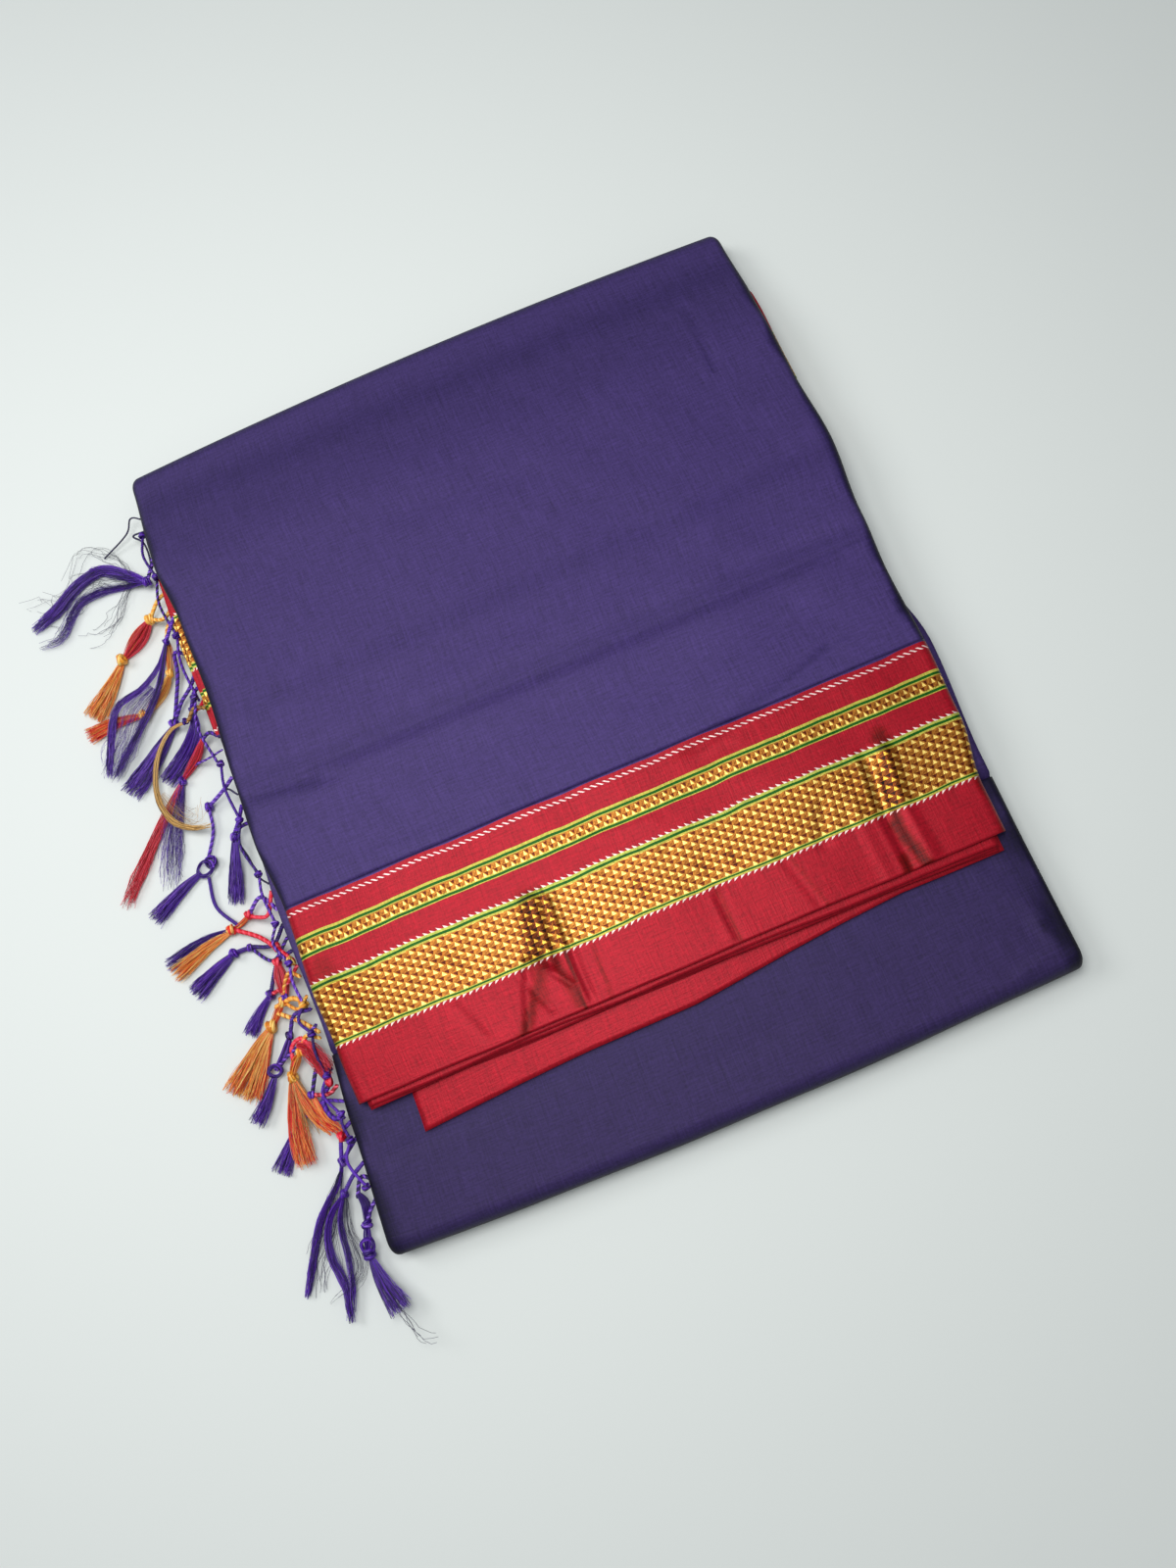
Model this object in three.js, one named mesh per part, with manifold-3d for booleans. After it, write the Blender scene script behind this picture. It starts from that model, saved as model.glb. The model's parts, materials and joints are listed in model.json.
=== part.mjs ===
// A folded saree lying flat, with a woven red and gold border and a fringed, tasselled end.
// Millimetres, +Z up. X runs along the length of the cloth, +Y across its width towards the
// fold that is far from the border. The underside is the plane z = 0 and the origin is its centre.

import * as THREE from 'three';
import Module from 'manifold-3d';
import { mergeVertices } from 'three/addons/utils/BufferGeometryUtils.js';

// Driving dimensions.

const HALF_WIDTH = 175;        // half of one fold of the cloth's length
const FAR_FOLD_Y = 215.5;      // far fold, at the corners
const NEAR_FOLD_Y = -215.5;    // near fold, at the corners
const CLOTH = 1.5;             // outer cloth with the first layers that move with it
const SEAM_GAP = 0.3;          // clearance between neighbouring pieces

const TOP_Z = 25;              // top of the pack on the upper stretch
const FAR_FOLD_RADIUS = 8.75;
const NEAR_FOLD_RADIUS = 8.25;
const LOWER_Z = 2 * NEAR_FOLD_RADIUS;   // top of the lower stretch that shows beside the border
const UNDER_SEAM_Y = 190;      // where the upper stretch ends on the underside
const SLOPE_START_Y = 140;     // the top falls from here to the far fold
const SLOPE_END_Y = 206;

const TOP_ROLL = 5;            // radius of the rolled side of the upper stretch
const LOWER_ROLL = 4;          // the same on the lower stretch
const RIM_DROP = 1.2;          // the cloth hangs this far below its rolled side

const BORDER_TOP_Y = -43;      // colour change from body to border on the upper stretch
const SELVEDGE_Y = -146;       // free selvedge of the border
const LOWER_END_Y = -118;      // where the lower stretch of the body goes in under the border
const HIDDEN_STEP_Y = LOWER_END_Y + 0.4;   // the hidden layers step down here
const STEP_WALL = 0.012;       // depth of the upright face of that step

const LAYER = 1.2;             // thickness of each border layer that peeps out
const GROOVES = 4;             // groups of folds that show on each side
const RIDGE_INSET = 0.5;       // the folds lie this far inside the outline
const GROOVE_DEPTH = 1.1;

// Side outlines of the pack, far to near: the lower layers, and the upper stretch.
const SIDES = [
  { y: 216, left: -173.4, right: 175.4 },
  { y: 176, left: -174.6, right: 176.6 },
  { y: 160, left: -175, right: 177.2 },
  { y: 117, left: -175.4, right: 177.6 },
  { y: 76, left: -173.4, right: 179.6 },
  { y: 29, left: -172.8, right: 176.2 },
  { y: -5, left: -173.4, right: 173.6 },
  { y: -44, left: -173.5, right: 178.5 },
  { y: -106, left: -171.5, right: 174.9 },
  { y: -153, left: -174, right: 174.5 },
  { y: -217, left: -176.2, right: 174.7 },
];
const TOP_SIDES = [
  { y: 216, left: -173.4, right: 175.4 },
  { y: 176, left: -174.6, right: 176.6 },
  { y: 160, left: -174.4, right: 176.2 },
  { y: 117, left: -170.4, right: 176.2 },
  { y: 76, left: -169.4, right: 178.6 },
  { y: 29, left: -171, right: 174.6 },
  { y: -5, left: -171.6, right: 172.8 },
  { y: -47, left: -168, right: 173.6 },
  { y: -85, left: -168.7, right: 172.4 },
  { y: -121, left: -166.6, right: 166.8 },
  { y: -150, left: -165, right: 166.6 },
];

// The two folds bow out between the corners, from start on and over that length.
const FAR_BOW = { depth: 5, start: 120, length: 80 };
const NEAR_BOW = { depth: 4.2, start: 150, length: 55 };

// Creases of the upper stretch. Each runs from one end to the other; depth below or, when
// negative, height above the cloth; reach is how far it spreads to either side.
const CREASES = [
  { x0: -172, y0: 17, x1: 172, y1: 14.5, reach: 7, depth: 0.7 },
  { x0: -172, y0: 5, x1: 172, y1: 3, reach: 8, depth: -0.4 },
  { x0: 139, y0: -28, x1: 36, y1: -52, reach: 6, depth: 0.5 },
  { x0: 139, y0: 175, x1: 138.5, y1: 132, reach: 6, depth: 0.4 },
];
const BORDER_CREASES = [
  { x0: -47, y0: -84, x1: -47, y1: -150, reach: 5, depth: 0.7 },
  { x0: -58, y0: -84, x1: -62, y1: -125, reach: 8, depth: -0.7 },
  { x0: -68, y0: -112, x1: -83, y1: -150, reach: 5, depth: 0.6 },
  { x0: 122, y0: -84, x1: 124, y1: -150, reach: 7, depth: 0.7 },
  { x0: 134, y0: -84, x1: 136, y1: -150, reach: 6, depth: -0.6 },
];

const COLOURS = {
  violet: 0x47396c,
  deep_violet: 0x2f2450,
  red: 0xb32035,
  gold: 0xcd9b37,
  violet_thread: 0x461e82,
  red_thread: 0xc81a2c,
  orange_thread: 0xd78232,
};

// Shared helpers.

function smooth(t) {
  const c = Math.min(1, Math.max(0, t));
  return c * c * (3 - 2 * c);
}

function sideAt(table, y, key) {
  if (y >= table[0].y) return table[0][key];
  for (let i = 1; i < table.length; i++) {
    const above = table[i - 1];
    const below = table[i];
    if (y >= below.y) {
      const t = (above.y - y) / (above.y - below.y);
      return above[key] + (below[key] - above[key]) * smooth(t);
    }
  }
  return table[table.length - 1][key];
}

// Moves a point of the straight pack, which is HALF_WIDTH to either side, onto the real
// outline: the sides follow a table and the two folds bow out a little between the corners.
function settle([x, y, z], table) {
  const across = x / HALF_WIDTH;
  const left = sideAt(table, y, 'left');
  const right = sideAt(table, y, 'right');
  const bow = 1 - across * across;
  const far = FAR_BOW.depth * bow * smooth((y - FAR_BOW.start) / FAR_BOW.length);
  const near = -NEAR_BOW.depth * bow * smooth((-y - NEAR_BOW.start) / NEAR_BOW.length);
  return [(left + right) / 2 + across * (right - left) / 2, y + far + near, z];
}

// Height of the upper stretch above the underside of the pack.
function topHeight(y) {
  const fall = TOP_Z - 2 * FAR_FOLD_RADIUS;
  return TOP_Z - fall * smooth((y - SLOPE_START_Y) / (SLOPE_END_Y - SLOPE_START_Y));
}

const CREASE_END = 0.12;         // share of its length over which a crease fades out

// How much the creases of a list lower the cloth at a point.
function creaseDepth(x, y, creases) {
  let depth = 0;
  for (const c of creases) {
    const dx = c.x1 - c.x0;
    const dy = c.y1 - c.y0;
    const along = ((x - c.x0) * dx + (y - c.y0) * dy) / (dx * dx + dy * dy);
    const t = Math.min(1, Math.max(0, along));
    const distance = Math.hypot(x - c.x0 - t * dx, y - c.y0 - t * dy);
    const ends = smooth(t / CREASE_END) * smooth((1 - t) / CREASE_END);
    depth += c.depth * ends * (1 - smooth(distance / c.reach));
  }
  return depth;
}

function meshFrom(points, triangles) {
  const geometry = new THREE.BufferGeometry();
  geometry.setAttribute('position', new THREE.Float32BufferAttribute(points.flat(), 3));
  geometry.setIndex(triangles.flat());
  return geometry;
}

// Closed solid between an outer and an inner grid of points with the same rows and columns.
// On the upper side the rows run towards -Y and the columns towards +X.
function wallBetween(outer, inner) {
  const rows = outer.length;
  const columns = outer[0].length;
  const points = [...outer.flat(), ...inner.flat()];
  const shift = rows * columns;
  const at = (row, column) => row * columns + column;
  const triangles = [];
  const quad = (a, b, c, d) => triangles.push([a, c, b], [a, d, c]);
  for (let r = 0; r < rows - 1; r++) {
    for (let c = 0; c < columns - 1; c++) {
      quad(at(r, c), at(r, c + 1), at(r + 1, c + 1), at(r + 1, c));
      quad(shift + at(r, c), shift + at(r + 1, c), shift + at(r + 1, c + 1), shift + at(r, c + 1));
    }
  }
  for (let c = 0; c < columns - 1; c++) {
    quad(at(0, c), shift + at(0, c), shift + at(0, c + 1), at(0, c + 1));
    quad(at(rows - 1, c), at(rows - 1, c + 1), shift + at(rows - 1, c + 1), shift + at(rows - 1, c));
  }
  for (let r = 0; r < rows - 1; r++) {
    quad(at(r, 0), at(r + 1, 0), shift + at(r + 1, 0), shift + at(r, 0));
    quad(at(r, columns - 1), shift + at(r, columns - 1), shift + at(r + 1, columns - 1),
      at(r + 1, columns - 1));
  }
  return meshFrom(points, triangles);
}

// Closed solid through rings that all have the same number of points, flat at both ends.
function solidThrough(rings) {
  const count = rings[0].length;
  const points = rings.flat();
  const triangles = [];
  for (let r = 0; r < rings.length - 1; r++) {
    for (let i = 0; i < count; i++) {
      const j = (i + 1) % count;
      const a = r * count + i;
      const b = r * count + j;
      triangles.push([a, b + count, b], [a, a + count, b + count]);
    }
  }
  const capOf = (ring) => {
    const outline = ring.map((p) => new THREE.Vector2(p[0], p[2]));
    return THREE.ShapeUtils.triangulateShape(outline, []);
  };
  const last = (rings.length - 1) * count;
  capOf(rings[0]).forEach(([a, b, c]) => triangles.push([a, b, c]));
  capOf(rings[rings.length - 1]).forEach(([a, b, c]) => triangles.push([last + a, last + c, last + b]));
  return meshFrom(points, triangles);
}

const wasm = await Module();
wasm.setup();
const { Manifold, Mesh } = wasm;

function toSolid(geometry) {
  const bare = geometry.index ? geometry.clone() : mergeVertices(geometry);
  const position = new THREE.BufferGeometry();
  position.setAttribute('position', bare.getAttribute('position'));
  position.setIndex(bare.index);
  const merged = mergeVertices(position, 1e-4);
  const mesh = new Mesh({
    numProp: 3,
    vertProperties: new Float32Array(merged.getAttribute('position').array),
    triVerts: new Uint32Array(merged.index.array),
  });
  mesh.merge();
  return new Manifold(mesh);
}

function toGeometry(solid) {
  const mesh = solid.getMesh();
  const geometry = new THREE.BufferGeometry();
  geometry.setAttribute('position', new THREE.Float32BufferAttribute(mesh.vertProperties, 3));
  geometry.setIndex(new THREE.BufferAttribute(mesh.triVerts, 1));
  return geometry;
}

const saree = new THREE.Group();

function addPiece(name, geometry, colour, roughness = 0.75, metalness = 0) {
  const flat = geometry.clone();
  flat.computeVertexNormals();
  const material = new THREE.MeshStandardMaterial({ color: colour, roughness, metalness });
  const mesh = new THREE.Mesh(flat, material);
  mesh.name = name;
  saree.add(mesh);
}

// Cloth that follows a path.

// Positions across the cloth, from the left rim to the right rim: the angle of the rolled
// side (90 degrees at the outline, 0 where the flat part starts) and the place in the middle.
function acrossStations(middle, roll) {
  const flatEdge = HALF_WIDTH - roll;
  const angles = [90, 60, 30, 0];
  const left = angles.map((a) => ({ x: -flatEdge, angle: a, side: -1 }));
  const right = angles.map((a) => ({ x: flatEdge, angle: a, side: 1 })).reverse();
  const centre = middle.map((x) => ({ x, angle: 0, side: 0 }));
  return [{ ...left[0], rim: true }, ...left, ...centre, ...right, { ...right[3], rim: true }];
}

// Cloth wall along a path in the y-z plane. Each path row has y, z, the outward normal's
// ny and nz, and roll, the radius of its rolled sides. Creases shape the outer face only.
function clothAlong(path, middle, table, creases) {
  const makeRow = (row, inset) => acrossStations(middle, row.roll).map((station) => {
    const angle = THREE.MathUtils.degToRad(station.angle);
    const reach = (row.roll - inset) * Math.sin(angle);
    const x = station.x + station.side * reach;
    let down = row.roll - (row.roll - inset) * Math.cos(angle);
    if (station.rim) down += 0.1 + RIM_DROP * smooth((row.roll - UNDER_ROLL) / UNDER_ROLL);
    const point = settle([x, row.y - row.ny * down, row.z - row.nz * down], table);
    if (inset === 0 && !station.rim && row.nz > 0.9) {
      point[2] -= creaseDepth(point[0], point[1], creases) * Math.cos(angle);
    }
    return point;
  });
  const outer = path.map((row) => makeRow(row, 0));
  const inner = path.map((row) => makeRow(row, CLOTH));
  return wallBetween(outer, inner);
}

// Rows of a half turn of cloth about (y, z), from the underside to the top.
function foldRows(y, z, radius, direction, steps, rollAt) {
  const rows = [];
  for (let i = 0; i <= steps; i++) {
    const angle = -Math.PI / 2 + (Math.PI * i) / steps;
    const ny = direction * Math.cos(angle);
    const nz = Math.sin(angle);
    rows.push({ y: y + radius * ny, z: z + radius * nz, ny, nz, roll: rollAt(i / steps) });
  }
  return rows;
}

function topRows(stations) {
  return stations.map((y) => {
    const slope = (topHeight(y + 1) - topHeight(y - 1)) / 2;
    const length = Math.hypot(1, slope);
    return { y, z: topHeight(y), ny: -slope / length, nz: 1 / length, roll: TOP_ROLL };
  });
}

// Upper stretch.

// Rows across the upper stretch, far to near; the hidden layers below it share most of them.
const SLOPE_Y = [196, 184, 172, 158, SLOPE_START_Y];
const LEVEL_Y = [117, 96, 76, 52, 29, 21, 15.5, 9, 3.5, -5, -24, -34];
const BORDER_Y = [-52, -62, -72, -85, -98, -112, HIDDEN_STEP_Y];
const TOP_MIDDLE = [-110, -50, 10, 50, 90, 125, 150];

function bodyTop() {
  const centreY = FAR_FOLD_Y - FAR_FOLD_RADIUS;
  const turn = foldRows(centreY, FAR_FOLD_RADIUS, FAR_FOLD_RADIUS, 1, 7,
    (t) => UNDER_ROLL + (TOP_ROLL - UNDER_ROLL) * smooth(t * 1.4));
  const start = { ...turn[0], y: UNDER_SEAM_Y };
  const rows = topRows([...SLOPE_Y, ...LEVEL_Y, BORDER_TOP_Y]);
  return clothAlong([start, ...turn, ...rows], TOP_MIDDLE, TOP_SIDES, CREASES);
}

const BORDER_MIDDLE = [-150, -110, -84, -76, -69, -60, -53, -47, -41, -20, 20, 60, 100,
  115, 122, 129, 136, 143, 155];

function borderTop() {
  const rows = topRows([BORDER_TOP_Y - SEAM_GAP, ...BORDER_Y, -132, SELVEDGE_Y]);
  return clothAlong(rows, BORDER_MIDDLE, TOP_SIDES, [...CREASES, ...BORDER_CREASES]);
}

// Lower stretch.

const LOWER_MIDDLE = [-130, -80, -30, 20, 70, 120];

function bodyLower() {
  const centreY = NEAR_FOLD_Y + NEAR_FOLD_RADIUS;
  const turn = foldRows(centreY, NEAR_FOLD_RADIUS, NEAR_FOLD_RADIUS, -1, 7,
    (t) => UNDER_ROLL + (LOWER_ROLL - UNDER_ROLL) * smooth(t * 1.4));
  const stretch = [UNDER_SEAM_Y - SEAM_GAP, 117, 76, 29, -5, -44, -106, -153];
  const under = stretch.map((y) => ({ ...turn[0], y }));
  const top = [-190, -153, LOWER_END_Y].map((y) => ({ ...turn[turn.length - 1], y }));
  const path = [...under, ...turn, ...top].reverse();
  return clothAlong(path, LOWER_MIDDLE, SIDES, []);
}

// Hidden layers.

const UNDER_ROLL = CLOTH + 0.5;   // small roll of the cloth along the edges of the underside
const LINING = CLOTH + SEAM_GAP;  // from the outer face of the cloth to the hidden layers
const SIDE_EASE = 0.5;            // more room than that inside the rolled sides

// One side of a section of the hidden layers, from its underside up to the flat top, as an
// inset from the outline and a height. Folds show as round ridges below the rolled cloth,
// and inside a turn of the cloth the side is plain and stays clear of the rolled corner.
function sideProfile({ base, top, roll, turned }) {
  const corner = turned ? 0.4 : roll - LINING;
  const shelf = turned ? (base + top) / 2 : top - corner - RIM_DROP - 2 * SEAM_GAP;
  const plain = turned ? roll + SEAM_GAP : LINING + SIDE_EASE;
  const ridge = turned ? plain : RIDGE_INSET;
  const groove = turned ? plain : RIDGE_INSET + GROOVE_DEPTH;
  const first = turned ? base + 0.2 : UNDER_ROLL + SEAM_GAP + 0.2;
  const points = [{ inset: plain + 0.4, z: base }, { inset: plain, z: first }];
  const pitch = (shelf - first) / GROOVES;
  for (let i = 0; i < GROOVES; i++) {
    points.push({ inset: ridge, z: first + pitch * (i + 0.5) });
    points.push({ inset: groove, z: first + pitch * (i + 1) });
  }
  for (const degrees of [90, 60, 30, 0]) {
    const angle = THREE.MathUtils.degToRad(degrees);
    const inset = plain + corner - corner * Math.sin(angle);
    points.push({ inset, z: top - corner + corner * Math.cos(angle) });
  }
  return points;
}

function hiddenRing(section) {
  const flatTop = [-120, -72, -24, 24, 72, 120];
  const profile = sideProfile(section);
  const tableAt = (z) => (section.upper && z > LOWER_Z ? TOP_SIDES : SIDES);
  const place = (x, z) => settle([x, section.y, z], tableAt(z));
  const right = profile.map((p) => place(HALF_WIDTH - p.inset, p.z));
  const left = profile.map((p) => place(-HALF_WIDTH + p.inset, p.z)).reverse();
  const above = [...flatTop].reverse().map((x) => place(x, section.top));
  const below = flatTop.map((x) => place(x, section.base));
  return [...right, ...above, ...left, ...below];
}

// Sections inside a turn of the cloth about a centre line at centreY.
function turnSections(centreY, radius, direction, degreesList, roll) {
  return degreesList.map((degrees) => {
    const angle = THREE.MathUtils.degToRad(degrees);
    const inner = radius - LINING;
    return {
      y: centreY + direction * inner * Math.cos(angle),
      base: radius - inner * Math.sin(angle),
      top: radius + inner * Math.sin(angle),
      roll,
      turned: degrees < 90,
    };
  });
}

function hiddenLayers() {
  const near = turnSections(NEAR_FOLD_Y + NEAR_FOLD_RADIUS, NEAR_FOLD_RADIUS, -1,
    [25, 50, 75, 90], LOWER_ROLL);
  const lower = [-190, -153, HIDDEN_STEP_Y - STEP_WALL].map((y) => (
    { y, base: LINING, top: LOWER_Z - LINING, roll: LOWER_ROLL }));
  const stations = [HIDDEN_STEP_Y, -85, BORDER_TOP_Y, -5, 29, 76, 117, ...[...SLOPE_Y].reverse()];
  const upper = stations.map((y) => (
    { y, base: LINING, top: topHeight(y) - LINING, roll: TOP_ROLL, upper: true }));
  const far = turnSections(FAR_FOLD_Y - FAR_FOLD_RADIUS, FAR_FOLD_RADIUS, 1,
    [90, 70, 45, 20], TOP_ROLL);
  return solidThrough([...near, ...lower, ...upper, ...far].map(hiddenRing));
}

// Layers that peep out.

// Thin strip of border between two heights. Its free edge is a table of x and y, and it
// reaches back under the pieces above it as far as rootY.
function edgeStrip(edge, rootY, bottom, thickness, table) {
  const outer = [];
  const inner = [];
  for (let row = 0; row <= 2; row++) {
    const t = row / 2;
    const line = edge.map((p) => [p.x, rootY + (p.y - rootY) * t]);
    outer.push(line.map(([x, y]) => settle([x, y, bottom + thickness], table)));
    inner.push(line.map(([x, y]) => settle([x, y, bottom], table)));
  }
  return wallBetween(outer, inner);
}

const STRIP_ROOT_Y = HIDDEN_STEP_Y - 2;
const LAYER_PITCH = LAYER + SEAM_GAP;
const FIRST_STRIP_Z = TOP_Z - CLOTH - SEAM_GAP - LAYER;

// Free edges of the layers under the border's selvedge, by their y at five places across.
const PEEPING_X = [-170, -85, 0, 90, 171];
const PEEPING = [
  { name: 'border_layer_second', edgeY: [-148.2, -147.4, -147.6, -148.8, -149.6] },
  { name: 'border_layer_third', edgeY: [-149.6, -148.4, -148.8, -150, -150.8] },
  { name: 'border_layer_fourth', edgeY: [-147.2, -149.4, -149.2, -147.6, -151.8] },
];
const UNDER_GROUP = [
  { x: -141, y: -167.7 }, { x: -94.5, y: -163.9 }, { x: -51, y: -162.8 }, { x: 24.5, y: -163.3 },
  { x: 59.5, y: -155.7 }, { x: 109.6, y: -152.2 }, { x: 170, y: -152.6 },
];

const SECOND_BORDER_Z = 12.2;
const SECOND_BORDER_REACH = 22;  // how far it goes in between the hidden layers

// Second border, which lies inside the fold and peeps out at one side.
function sideStrip(side, y0, y1, peep, clearance) {
  const inside = side * (HALF_WIDTH - SECOND_BORDER_REACH - clearance);
  const outside = side * (HALF_WIDTH + peep + clearance);
  const columns = side > 0 ? [inside, outside] : [outside, inside];
  const ys = [y0 + clearance, (2 * y0 + y1) / 3, (y0 + 2 * y1) / 3, y1 - clearance];
  const grid = (height) => ys.map((y) => columns.map((x) => settle([x, y, height], SIDES)));
  const top = SECOND_BORDER_Z + LAYER + clearance;
  return wallBetween(grid(top), grid(SECOND_BORDER_Z - clearance));
}

const SIDE_STRIPS = [
  { name: 'second_border_left', side: -1, y0: 158, y1: 56, peep: 1.6 },
  { name: 'second_border_right', side: 1, y0: 177, y1: 112, peep: 1.8 },
];

// Fringe.

// Every tassel hangs from one or two cords tied into the left side. Places are x and y on
// the surface, knots are x, y and radius from the side outwards, and the skirt of locks goes
// from the last knot to the tip, bowed sideways by bow and fanned out to width at its end.
// lift is the height at which a tassel crosses the ones below it.
const TASSELS = [
  { name: 'tassel_01', thread: 'violet_thread', lift: 0, roots: [184, 171], tip: [-252, 161],
    knots: [[-187, 160, 1.8]], bow: -15, width: 13, locks: 8 },
  { name: 'tassel_02', thread: 'orange_thread', lift: 0, roots: [146, 136], tip: [-238, 100],
    knots: [[-190, 138, 2.3], [-212, 123, 2.6]], bow: 1, width: 15, locks: 8 },
  { name: 'tassel_03', thread: 'orange_thread', lift: 0, roots: [125, 113], tip: [-243, 88],
    knots: [[-190, 103, 1.8], [-211, 89, 1.9]], bow: -1, width: 9, locks: 6 },
  { name: 'tassel_04', thread: 'violet_thread', lift: 4, roots: [129.5], tip: [-236, 62],
    knots: [[-190, 112, 1.3]], bow: -9, width: 6, locks: 3 },
  { name: 'tassel_05', thread: 'violet_thread', lift: 0, roots: [106, 96], tip: [-229, 48],
    knots: [[-197, 77, 2.2]], bow: -1, width: 12, locks: 7 },
  { name: 'tassel_06', thread: 'violet_thread', lift: 0, roots: [88, 80], tip: [-210, 48],
    knots: [[-185, 69, 2]], bow: 1, width: 5, locks: 3 },
  { name: 'tassel_07', thread: 'orange_thread', lift: 6, roots: [73], tip: [-199, 19],
    knots: [[-188, 62, 1.3]], bow: -20, width: 4, locks: 3 },
  { name: 'tassel_08', thread: 'red_thread', lift: 0, roots: [58, 50], tip: [-250, -6],
    knots: [[-192, 44, 1.7], [-203, 36, 2.1]], bow: -4, width: 7, locks: 4 },
  { name: 'tassel_09', thread: 'violet_thread', lift: 0, roots: [34, 24], tip: [-238, -18],
    knots: [[-193, 27, 2.1], [-206, -3, 2.8]], bow: -2, width: 10, locks: 6 },
  { name: 'tassel_10', thread: 'violet_thread', lift: 0, roots: [18, 8], tip: [-196, -27],
    knots: [[-184, 5, 2.1]], bow: 1, width: 5, locks: 4 },
  { name: 'tassel_11', thread: 'orange_thread', lift: 0, roots: [-30, -40], tip: [-238, -47],
    knots: [[-191, -35, 1.9], [-202, -38.5, 2.4]], bow: 1, width: 13, locks: 7 },
  { name: 'tassel_12', thread: 'violet_thread', lift: 0, roots: [-48, -55], tip: [-230, -62],
    knots: [[-195, -50.5, 1.5], [-205, -50, 2]], bow: 0, width: 7, locks: 4 },
  { name: 'tassel_13', thread: 'violet_thread', lift: 0, roots: [-62, -70], tip: [-210, -92],
    knots: [[-194, -77, 1.9]], bow: 0, width: 6, locks: 4 },
  { name: 'tassel_14', thread: 'orange_thread', lift: 0, roots: [-76, -86], tip: [-227, -119],
    knots: [[-188, -83, 1.9], [-198, -92, 2.5]], bow: 1, width: 22, locks: 10 },
  { name: 'tassel_15', thread: 'violet_thread', lift: 4, roots: [-93, -101], tip: [-221, -134],
    knots: [[-190, -100, 1.7], [-204, -113, 2.4]], bow: 1, width: 6, locks: 4 },
  { name: 'tassel_16', thread: 'red_thread', lift: 4, roots: [-108, -117], tip: [-200, -162],
    knots: [[-187, -110, 2], [-196, -119, 2.6]], bow: -1, width: 14, locks: 7 },
  { name: 'tassel_17', thread: 'red_thread', lift: 0, roots: [-124, -132], tip: [-181, -154],
    knots: [[-189, -131, 1.8]], bow: -1, width: 4, locks: 3 },
  { name: 'tassel_18', thread: 'violet_thread', lift: -2.5, roots: [-140], tip: [-218, -160],
    knots: [[-201, -141, 1.3]], bow: 1, width: 4, locks: 3 },
  { name: 'tassel_19', thread: 'violet_thread', lift: 0, roots: [-150, -158], tip: [-223, -217],
    knots: [[-186, -166, 1.9]], bow: -4, width: 9, locks: 5 },
  { name: 'tassel_20', thread: 'violet_thread', lift: 3, roots: [-170], tip: [-205, -233],
    knots: [[-192, -180, 1.7]], bow: -8, width: 7, locks: 4 },
  { name: 'tassel_21', thread: 'violet_thread', lift: 0, roots: [-178, -187], tip: [-184, -238],
    knots: [[-184, -197, 2], [-188, -208, 2.7]], bow: 0, width: 15, locks: 7 },
];

const ROOT_Z = 8;              // height at which the fringe cords leave the side
const CORD_RADIUS = 0.75;
const ROOT_GAP = 0.45;         // between a fringe cord and the folds it is tied into
const CORD_BOW = 1.5;          // the two cords of a tassel bow apart by this
const LOCK_RADIUS = 0.7;
const LOCK_Z = 1.5;            // centre of the locks above the surface
const LOCK_RAISE = 1.3;        // every second lock lies this much higher
const FIRST_KNOT_Z = 4.5;
const NEXT_KNOT_Z = 3.2;
const KNOT_CLEARANCE = 0.5;    // least space between a knot and the surface
const CORD_SAG = 0.6;

function ringShape(radius, sides) {
  const shape = new THREE.Shape();
  for (let i = 0; i < sides; i++) {
    const angle = (2 * Math.PI * i) / sides;
    const x = radius * Math.cos(angle);
    const y = radius * Math.sin(angle);
    if (i === 0) shape.moveTo(x, y);
    else shape.lineTo(x, y);
  }
  shape.closePath();
  return shape;
}

function thread(points, radius, sides, steps) {
  const curve = new THREE.CatmullRomCurve3(points.map((p) => new THREE.Vector3(...p)));
  const tube = new THREE.ExtrudeGeometry(ringShape(radius, sides), {
    extrudePath: curve, steps, bevelEnabled: false, curveSegments: 1,
  });
  return toSolid(tube);
}

function knot([x, y, radius], z) {
  const ball = new THREE.SphereGeometry(radius, 6, 4);
  ball.translate(x, y, Math.max(z, radius + KNOT_CLEARANCE));
  return toSolid(ball);
}

// Repeatable unevenness between -1 and 1.
function uneven(seed) {
  const value = Math.sin(seed * 127.1 + 3.7) * 43758.5453;
  return 2 * (value - Math.floor(value)) - 1;
}

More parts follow.
